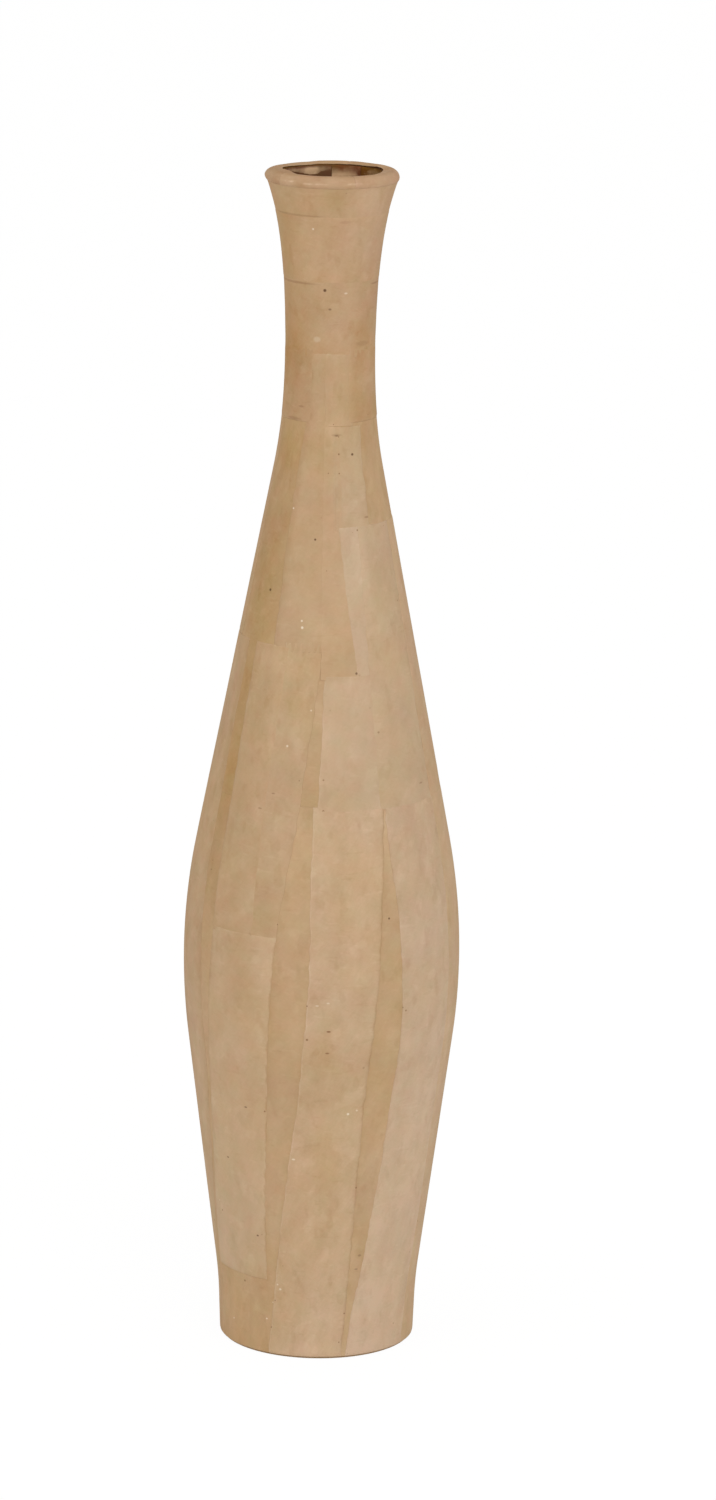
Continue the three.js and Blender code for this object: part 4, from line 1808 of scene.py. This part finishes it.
@dataclass
class Lip:
    """Rolled paper ring, the wraps folded over it and the scraps inside."""

    build_up: Build
    wraps: int = 5
    first_joint: float = 20.0
    overhang: float = 28.0
    fold: float = 142.0
    tones: tuple[float, ...] = (0.44, 0.4, 0.46, 0.38, 0.42)
    dips: Edge = LIP_DIPS
    paper: float = 0.5
    ring_depth: float = 0.75
    ring_long: int = 96
    ring_wide: int = 20
    scrap_paper: float = 0.3
    scrap_gap: float = 7.0
    wrap_seed: float = 60.0
    scrap_seed: float = 80.0

    @property
    def fold_length(self) -> float:
        """Length of a wrap round the lip, as if it went half round and over the overhang."""
        return math.radians(180 + self.overhang) * self.build_up.outline.lip_radius

    @property
    def throat(self) -> float:
        """Radius of the opening inside the lip."""
        return self.build_up.outline.lip_centre_radius - self.build_up.outline.lip_radius

    @property
    def scrap_top(self) -> float:
        """How far the scraps reach up over the middle of the lip."""
        return math.radians(180.0 - self.fold - self.scrap_gap) * self.build_up.outline.lip_radius

    def build(self) -> list[Piece]:
        """Make the ring, the wraps and the scraps.

        Returns:
            All pieces of the lip.
        """
        outline = self.build_up.outline
        kraft = KRAFT.material(outline)
        pieces = [self.ring(ROLLED.material(outline))]
        pieces += [self.wrap(k, kraft) for k in range(self.wraps)]
        pieces += self.scraps(SCRAP.material(outline))
        return pieces

    def ring(self, finish: Material) -> Piece:
        """Make the rolled ring.

        Args:
            finish: Material of the ring.

        Returns:
            The new object.
        """
        long, wide = self.ring_long, self.ring_wide
        thick = self.build_up.outline.lip_radius - self.ring_depth
        places: list[tuple[float, ...]] = []
        faces: list[Face] = []
        flat: list[float] = []
        shades: list[Shade] = []
        for k in range(long):
            turn = 2 * math.pi * k / long
            ahead = (k + 1) % long
            shade = Shade(RING_TONES.corner_angle(math.remainder(360.0 * k / long, 360.0)))
            for j in range(wide):
                roll = 2 * math.pi * j / wide
                beside = (j + 1) % wide
                place = tuple(value * MM for value in self.on_ring(thick, roll, turn))
                places.append(place)
                flat.extend(value / MM for value in place)
                shades.append(shade)
                corners = ((k, j), (ahead, j), (ahead, beside), (k, beside))
                faces.append(tuple(row * wide + column for row, column in corners))
        piece = new_piece("lip_rolled_ring", places, faces, finish)
        write_marks(piece.data, flat, shades, [FAR_FROM_EDGE] * len(places))
        return stand_for(piece, "lip_roll")

    def wrap(self, number: int, finish: Material) -> Piece:
        """Make one paper wrap folded over the lip.

        Args:
            number: Number of the wrap, from 0.
            finish: Material of the wrap.

        Returns:
            The new object.
        """
        seed = self.wrap_seed + number
        width = math.radians(360.0 / self.wraps) * self.build_up.outline.lip_centre_radius
        places = spaced(width, 0.6)
        rows = []
        for along in spaced(self.fold_length, 0.34):
            rows.append([self.wrap_point(number, seed, along, place) for place in places])
        piece = SheetMesh(f"lip_wrap_{number + 1}_paper", seed).close(rows, finish)
        return stand_for(piece, f"lip_wrap_{number + 1}")

    def wrap_point(self, number: int, seed: float, along: float, place: float) -> Point:
        """One point of a wrap.

        Args:
            number: Number of the wrap, from 0.
            seed: Number that shifts the paper's pattern.
            along: Place from the outer end, 0, to the inner one, 1.
            place: Place from the left, 0, to the right, 1.

        Returns:
            The finished point.
        """
        outline = self.build_up.outline
        girth = outline.lip_centre_radius
        share = 360.0 / self.wraps
        u = math.radians(self.first_joint + share * number + share * place) * girth
        turn = u / girth
        way = along * self.fold_length
        ragged = 14.0 * ripple(u, 0.0, seed, 6.0, 1.0) + 6.0 * ripple(u, 3.0, seed, 2.2, 1.0)
        inner_end = self.fold + 0.4 * ragged
        roll = math.radians(-self.overhang + (inner_end + self.overhang) * along)
        ends = min(place, 1.0 - place) * math.radians(share) * girth
        depth = 0.1 - 0.06 * ripple(u, way, seed, 7.0, 4.0)
        depth += 0.1 * (1.0 - soft_step(0.0, 0.8, ends))
        depth += 0.16 * (1.0 - soft_step(0.0, 1.1, way))
        radius = outline.lip_radius - max(0.02, depth)
        outer = self.squared(self.on_ring(radius, roll, turn), roll, turn)
        inner = self.squared(self.on_ring(radius - self.paper, roll, turn), roll, turn)
        gap = min(ends, way, (1.0 - along) * self.fold_length)
        worn = 1.0 - soft_step(0.3, 2.2, gap)
        pale = 0.3 * max(0.0, ripple(u, way, 5.0, 6.0, 1.1) - 0.1) * worn
        across = math.remainder(turn, 2 * math.pi) * girth
        steep = math.degrees(roll)
        # Pale crease lines, which paint the lip's highlight as well, and a darker tone over the crest and
        # the inner side.
        pale += self.crease_and_highlight(across, steep) - 0.2 * soft_step(45.0, 80.0, steep)
        plain = Shade(self.tones[number] + pale, -1.0, 1.3)
        return Point(outer, inner, (u, way), gap, shaded(plain, STAIN_AND_LIGHT_PATCHES, turn, outer.z, girth))

    @staticmethod
    def crease_and_highlight(across: float, roll: float) -> float:
        """Pale line where the paper of the lip is creased, which also paints the lip's highlight.

        Args:
            across: Distance from the front along the lip, in mm.
            roll: Angle round the roll, in degrees.

        Returns:
            The change of shade.
        """
        shift = 0.0
        for middle, half, height in LIP_CREASE_HIGHLIGHTS:
            along = 1.0 - soft_step(half * 0.7, half, abs(across - middle))
            wave = 6.0 * ripple(across, height, 1.0, 3.0, 9.0)
            torn = max(0.15, 0.6 + 1.5 * ripple(across, 4.0 * height, 2.0, 1.4, 9.0))
            shift += 0.5 * along * torn * math.exp(-(((roll - height - wave) / 5.0) ** 2))
        return shift

    def squared(self, place: Vector, roll: float, turn: float) -> Vector:
        """Square off the inside of the lip where the fold is thick.

        Args:
            place: Place on the round lip, in mm.
            roll: Angle round the roll, in radians.
            turn: Angle round the axis, in radians.

        Returns:
            The moved place.
        """
        left = bell(turn, -84.0, 36.0)
        right = bell(turn, 94.0, 34.0)
        fold = bell(turn, -64.0, 15.0)
        share = min(1.0, 0.36 + 0.14 * math.cos(turn) + left + 0.7 * right)
        inward = soft_step(math.radians(85.0), math.radians(140.0), roll)
        ceiling = self.build_up.outline.height - 0.2 + 0.12 * fold - self.dip(turn)
        lift = share * inward * (ceiling - place.z) * (0.92 + 0.08 * fold)
        reach = math.hypot(place.x, place.y)
        pull = 1.0 - (1.3 * left + 0.8 * right + 1.2 * fold) * inward * 0.9 / reach
        return Vector((place.x * pull, place.y * pull, place.z + max(0.0, lift)))

    def dip(self, turn: float) -> float:
        """How far the crest of the lip dips at an angle in radians, in mm."""
        return self.dips.corner_angle(math.degrees(math.remainder(turn, 2 * math.pi)))

    def on_ring(self, radius: float, roll: float, turn: float) -> Vector:
        """Place on a ring round the lip's centre line, which dips at the back and bulges on the left.

        Args:
            radius: Distance from the centre line, in mm.
            roll: Angle round the roll, in radians.
            turn: Angle round the axis, in radians.

        Returns:
            The place, in mm.
        """
        outline = self.build_up.outline
        bulge = 0.5 * bell(turn, -84.0, 44.0) * soft_step(math.radians(-26.0), math.radians(15.0), roll)
        r = outline.lip_centre_radius + bulge + radius * math.cos(roll)
        rise = radius * math.sin(roll)
        drop = max(0.0, rise) * (self.dip(turn) / outline.lip_radius)
        return around(r, turn, outline.lip_height + rise - drop)

    def lining(self, t: float, turn: float, depth: float) -> Vector:
        """Place on the inside of the mouth.

        Args:
            t: Way up from the middle of the lip, over the roll where it is positive, in mm.
            turn: Angle round the axis, in radians.
            depth: Depth of the place under the face of the paper, in mm.

        Returns:
            The place, in mm.
        """
        outline = self.build_up.outline
        if t > 0:
            roll = math.pi - t / outline.lip_radius
            return self.on_ring(outline.lip_radius - depth, roll, turn)
        z = outline.lip_height + t
        wall = outline.radius(z) - self.build_up.inside_depth - 0.7
        return around(min(wall, self.throat) + depth, turn, z)

    def lining_tone(self, scrap: Scrap, seed: float, angle: float, u: float, t: float) -> float:
        """Shade of a mouth scrap at one place, with painted shadow under the lip roll and painted shade
        below the hem.

        Args:
            scrap: The scrap.
            seed: Number of the scrap.
            angle: Angle round the axis, in degrees.
            u: Place along the girth, in mm.
            t: Way up from the middle of the lip, in mm.

        Returns:
            The shade.
        """
        uneven = angle + 4.0 * ripple(u, t, seed, 2.0, 1.4)
        # Painted shadow of the lip roll, fading down from the scrap's upper end.
        light = min(1.0, max(0.0, (self.scrap_top - t - 0.2) / scrap.painted_shadow_reach)) ** scrap.bend
        tone = (scrap.tones.corner_angle(uneven) + 0.12 * ripple(u, t, seed, 3.0, 3.0)) * light
        hem = scrap.hem.corner_angle(angle) + 0.3 * ripple(u, 0.0, seed, 1.6, 1.0)
        # Painted shade: below the hem the scrap is dark, as the neck lies deep in shadow.
        dark = 1.0 - soft_step(hem - 0.25, hem + 0.25, t)
        return tone + (-0.25 - tone) * dark

    def scraps(self, finish: Material) -> list[Piece]:
        """Make the scraps pasted inside the mouth.

        Args:
            finish: Material of the scraps.

        Returns:
            The new objects.
        """
        pieces = []
        for number, scrap in enumerate(SCRAPS):
            seed = self.scrap_seed + number
            places = spaced(math.radians(scrap.end - scrap.start) * self.throat, 0.5)
            rows = []
            for share in spaced(self.scrap_top + scrap.drop, 0.3):
                rows.append([self.scrap_point(scrap, seed, share, place) for place in places])
            piece = SheetMesh(f"{scrap.name}_paper", seed).close(rows, finish)
            pieces.append(stand_for(piece, scrap.name))
        return pieces

    def scrap_point(self, scrap: Scrap, seed: float, share: float, place: float) -> Point:
        """One point of a scrap.

        Args:
            scrap: The scrap.
            seed: Number that shifts the paper's pattern.
            share: Place from the lower end, 0, to the upper one, 1.
            place: Place from the left, 0, to the right, 1.

        Returns:
            The finished point.
        """
        angle = scrap.start + (scrap.end - scrap.start) * place
        turn = math.radians(angle)
        u = turn * self.throat
        low = 0.25 * ripple(u, 0.0, seed, 1.6, 1.0) - scrap.drop
        high = self.scrap_top + 0.2 * ripple(u, 7.0, seed, 2.0, 1.0)
        t = low + (high - low) * share
        depth = 0.12 - 0.1 * ripple(u, t, seed, 4.0, 4.0)
        outer = self.lining(t, turn, depth)
        inner = self.lining(t, turn, depth + self.scrap_paper)
        tone = self.lining_tone(scrap, seed, angle, u, t)
        return Point(outer, inner, (u, t), FAR_FROM_EDGE, scrap.cast.added(Shade(tone), 1.0))


@dataclass
class UnderLayer:
    """Under-layer of strips that bridges the joint of the core."""

    build_up: Build
    seams: Seams
    lower: int = 8
    upper: int = 6
    neck: int = 3
    end_gap: float = 0.6
    seed: float = 10.0

    def edge_shade_and_paste(self) -> tuple[EdgeShadeAndPaste, ...]:
        """Darker bands beside the front strips: painted shade of their edges, and dried paste.

        Returns:
            One band for each seam that shows the under-layer.
        """
        s = self.seams
        return (
            # Painted shade, with dried paste, where each front strip's edge meets the under-layer.
            EdgeShadeAndPaste(s.centre_right, 2.0, 192.0, 1.5, Shade(-0.08, 0.6)),
            EdgeShadeAndPaste(s.low_right, 30.0, 166.0, 1.2, Shade(-0.09, 0.8)),
            EdgeShadeAndPaste(s.centre_left, 20.0, 150.0, 1.0, Shade(-0.1, 1.0)),
            EdgeShadeAndPaste(s.right_left, 20.0, 180.0, 1.0, Shade(-0.04, 0.5)),
        )

    def ring(
        self, prefix: str, count: int, start: float, bottom: float, top: float, tone: float
    ) -> list[Strip]:
        """Lay one ring of strips.

        Args:
            prefix: Name of the ring's nodes.
            count: Number of strips.
            start: Angle of the first joint.
            bottom: Height of the lower ends.
            top: Height of the upper ends.
            tone: Shade of the paper.

        Returns:
            The strips.
        """
        marks = UNDER_STAIN_AND_LIGHT_PATCHES + self.edge_shade_and_paste()
        strips = []
        for k in range(count):
            left = start + 360.0 * k / count
            left -= 360.0 if left > 180.0 else 0.0
            right = left + 360.0 / count
            strips.append(
                Strip(
                    f"{prefix}_{k + 1}", bottom, top, Edge.straight(left), Edge.straight(right), tone,
                    layer=Layer.UNDER, marks=marks, wobble=0.0, step=1.7, climb=2.4,
                )
            )
        return strips

    def build(self) -> list[Piece]:
        """Make every strip of the under-layer.

        Returns:
            The new objects.
        """
        finish = UNDER.material(self.build_up.outline)
        seams = self.seams
        top = self.build_up.ring_foot - self.end_gap
        strips = self.ring("under_strip_lower", self.lower, -42.0, seams.foot, seams.shoulder, 0.56)
        strips += self.ring("under_strip_upper", self.upper, -82.0, seams.shoulder, seams.neck, 0.5)
        strips += self.ring("under_wrap_neck", self.neck, -50.0, seams.neck, top, 0.32)
        return [strip.build(self.build_up, self.seed, finish, Slot.UNDER) for strip in strips]


@dataclass
class OuterLayer:
    """Outer strips, patches and bands of the vase."""

    build_up: Build
    seams: Seams
    seed: float = 30.0

    def front(self) -> list[Strip]:
        """Strips that the front of the vase shows.

        Returns:
            The strips, in the order that numbers their patterns.
        """
        s = self.seams
        at = Edge.straight
        drawn = Edge.drawn
        collar = {"grain": 45.0, "grain_height": 320.0}
        patch_left = drawn(s.shoulder, s.centre, (-3, -1.7, -0.5))
        bright_left = drawn(s.centre, s.patch, (19.6, 18, 14.6, 11.8, 9))
        left_inner = drawn(s.belly, s.side, (-30, -30, -29.7, -28.8, -26.8, -24))
        left_outer = drawn(s.low_end, s.belly, (-73, -68, -63, -59, -56, -53.8, -52))
        beside = drawn(s.belly, s.side, (-19.5, -16.4, -12.8, -9.6, -6, -0.5))
        shoulder_angles = (-36.5, -36.2, -36, -36.4, -36.2, -35.6, -34.8, -33.6, -28)
        high_left = drawn(s.side, s.neck - s.joint, shoulder_angles)
        return [
            Strip(
                "front_centre_strip", s.foot, s.shoulder, s.centre_left, s.centre_right, 0.56,
                melt=Side.RIGHT, quiet=Side.TOP, rims=(0.16, -0.2, 0, 0), rise=0.1, vigour=1.25,
                marks=STAIN_AND_LIGHT_PATCHES + (StainAndLightPatch(10.0, 211.0, 30.0, 15.0, Shade(0.02, -1.8, -0.1)),),
            ),
            Strip(
                "front_centre_patch", s.shoulder, s.centre, patch_left, at(31), 0.64,
                tucked=Side.BOTTOM, melt=Side.TOP, quiet=Side.RIGHT, rims=(0.08, 0, 0, 0),
                marks=STAIN_AND_LIGHT_PATCHES + (StainAndLightPatch(21.0, 259.5, 6.0, 4.0, Shade(0.15)),), fade=3.2, fade_tone=0.56,
                warm=-2.6, pink=-0.7, vigour=0.85,
            ),
            Strip(
                "front_right_strip", s.foot, s.shoulder, s.right_left, s.right_right, 0.74,
                tucked=Side.RIGHT, quiet=Side.TOP, rims=(-0.15, 0, 0, 0), rise=-0.08, warm=-4.2,
                pink=-0.5, vigour=1.2,
            ),
            Strip(
                "front_right_shoulder_strip", s.shoulder, s.patch, at(31), at(66), 0.62,
                tucked=Side.BOTTOM | Side.LEFT, rise=-0.06, warm=-2.6, pink=-0.9,
            ),
            Strip(
                "front_bright_patch", s.centre, s.patch, bright_left, at(31), 0.74,
                tucked=Side.BOTTOM, melt=Side.RIGHT, quiet=Side.RIGHT, rims=(-0.2, 0, 0, 0.1), fade=3.5,
                fade_tone=0.62, warm=-3.6, pink=-0.9,
            ),
            Strip(
                "front_left_low_strip", s.low_end, s.belly, left_outer, s.low_right, 0.6,
                melt=Side.LEFT | Side.BOTTOM, quiet=Side.BOTTOM | Side.LEFT, rims=(0, -0.28, 0, 0),
                marks=STAIN_AND_LIGHT_PATCHES + (StainAndLightPatch(-33.0, 163.0, 8.0, 6.0, Shade(-0.17)),),
            ),
            Strip(
                "front_left_strip", s.belly, s.side, at(-52.3), left_inner, 0.36,
                tucked=Side.BOTTOM, rims=(0, 0, 0, 0.1),
                marks=STAIN_AND_LIGHT_PATCHES + (
                    StainAndLightPatch(-33.5, 178.0, 3.5, 15.0, Shade(0.12)),
                    StainAndLightPatch(-49.0, 178.0, 6.0, 9.0, Shade(0.15)),
                    StainAndLightPatch(-33.0, 207.0, 2.8, 11.0, Shade(0.24)),
                    StainAndLightPatch(-30.5, 241.0, 3.2, 20.0, Shade(0.19)),
                    StainAndLightPatch(-29.0, 267.0, 2.8, 8.0, Shade(0.13)),
                ),
                warm=1.0,
            ),
            Strip(
                "front_left_inner_strip", s.belly, s.side, left_inner, beside, 0.48,
                tucked=Side.BOTTOM | Side.LEFT | Side.TOP, melt=Side.RIGHT, quiet=Side.RIGHT,
                marks=STAIN_AND_LIGHT_PATCHES + (
                    StainAndLightPatch(-22.0, 170.0, 4.0, 5.0, Shade(-0.12)),
                    StainAndLightPatch(-9.5, 262.0, 5.0, 9.0, Shade(0.15)),
                ),
                pink=-0.5,
            ),
            Strip(
                "front_left_shoulder_strip", s.side, s.collar_top, high_left, at(-0.5), 0.47,
                tucked=Side.BOTTOM, melt=Side.LEFT, quiet=Side.LEFT | Side.RIGHT, fade=2.6,
                fade_tone=0.3, rise=-0.03, vigour=0.85, **collar,
            ),
            Strip(
                "front_shoulder_strip", s.centre, s.collar_foot, at(-0.5), bright_left, 0.5,
                tucked=Side.LEFT | Side.BOTTOM | Side.RIGHT, vigour=0.85, **collar,
            ),
            Strip(
                "front_right_neck_patch", s.patch, s.collar_foot, at(9), at(40), 0.56,
                tucked=Side.LEFT | Side.BOTTOM, melt=Side.TOP | Side.LEFT, fade=6.0, fade_tone=0.49,
                warm=-0.8, pink=-0.7, **collar,
            ),
            Strip(
                "front_neck_patch", s.collar_foot, s.collar_top, at(-0.5), at(29), 0.5,
                tucked=Side.LEFT, quiet=Side.RIGHT | Side.BOTTOM, rims=(0, 0, 0, 0.12), vigour=0.85,
                **collar,
            ),
        ]

    def bands(self) -> list[Strip]:
        """Bands wound round the neck.

        Returns:
            The bands, from the mouth down.
        """
        s = self.seams
        at = Edge.straight
        cast = {"warm": 1.0, "pink": 0.8}
        return [
            Strip(
                "neck_band_mouth", s.high, s.band_top, at(128), at(488), 0.43,
                tucked=Side.BOTTOM | Side.TOP | Side.LEFT, lap=1.3, **cast,
            ),
            Strip(
                "neck_band_high", s.middle, s.high, at(205), at(565), 0.43,
                tucked=Side.LEFT, lap=1.6, **cast,
            ),
            Strip(
                "neck_band_middle", s.low, s.middle, at(158), at(518), 0.38,
                tucked=Side.TOP | Side.BOTTOM | Side.LEFT, lap=4.0, **cast,
            ),
            Strip(
                "neck_band_low", s.neck, s.low, at(30), at(332), 0.32,
                tucked=Side.LEFT | Side.RIGHT, lap=1.6, quiet=Side.TOP, melt=Side.LEFT, fade=3.6,
                fade_tone=0.5, **cast,
            ),
        ]

    def back(self) -> list[Strip]:
        """Strips round the sides and the back.

        Returns:
            The strips, in the order that numbers their patterns.
        """
        s = self.seams
        lean = Edge.leaning
        at = Edge.straight
        side_right = Edge.drawn(0, s.side, (-79, -73.5, -64.5, -59.5, -60.5, -61.5, -61.5, -61))
        both_ends = Side.TOP | Side.BOTTOM
        return [
            Strip(
                "right_side_strip", s.foot, s.shoulder, s.right_right, lean(98, 104), 0.6,
                quiet=Side.LEFT | Side.TOP,
            ),
            Strip("back_strip_1", s.foot, s.belly, lean(101, 108), lean(140, 147), 0.62),
            Strip("back_strip_2", s.foot, s.shoulder, lean(143, 148), lean(176, 180), 0.5),
            Strip("back_strip_3", s.foot, s.belly, lean(179, 182), lean(217, 224), 0.6),
            Strip("back_strip_4", s.foot, s.shoulder, lean(221, 224), lean(254, 257), 0.54),
            Strip(
                "left_side_strip", s.foot, s.side, lean(-103, -100), side_right, 0.46,
                melt=Side.RIGHT, quiet=Side.RIGHT, fade=4.5, fade_tone=0.34,
            ),
            Strip("right_shoulder_strip", s.shoulder, s.patch, at(66), at(112), 0.56, tucked=Side.BOTTOM),
            Strip("back_shoulder_strip_1", s.shoulder, s.neck, at(115), at(160), 0.6, tucked=Side.TOP),
            Strip("back_shoulder_strip_2", s.shoulder, s.neck, at(162), at(208), 0.5, tucked=both_ends),
            Strip(
                "back_shoulder_strip_3", s.shoulder, s.neck, at(208), at(256), 0.56,
                tucked=Side.TOP | Side.LEFT,
            ),
            Strip("left_shoulder_strip", s.side, s.neck, at(260), at(285), 0.42, tucked=Side.TOP),
        ]

    def build(self) -> list[Piece]:
        """Make every strip, patch and band of the outer layer.

        Returns:
            The new objects.
        """
        finish = KRAFT.material(self.build_up.outline)
        pieces = []
        for number, strip in enumerate(self.front() + self.bands() + self.back()):
            pieces.append(strip.build(self.build_up, self.seed + number, finish, Slot.KRAFT))
        return pieces


def main() -> None:
    """Build the vase and the studio, piece by piece."""
    logging.basicConfig(level=logging.INFO, format="%(name)s: %(message)s")
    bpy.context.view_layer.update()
    build_up = Build()
    seams = Seams()
    pieces: list[Piece] = []
    for assembly in (
        Core(build_up, seams),
        Foot(build_up),
        Lip(build_up),
        UnderLayer(build_up, seams),
        OuterLayer(build_up, seams),
    ):
        made = assembly.build()
        pieces += made
        LOG.info("%s: %d pieces", type(assembly).__name__, len(made))
    Studio().build()
    LOG.info("vase: %d pieces", len(pieces))


if __name__ == "__main__":
    main()
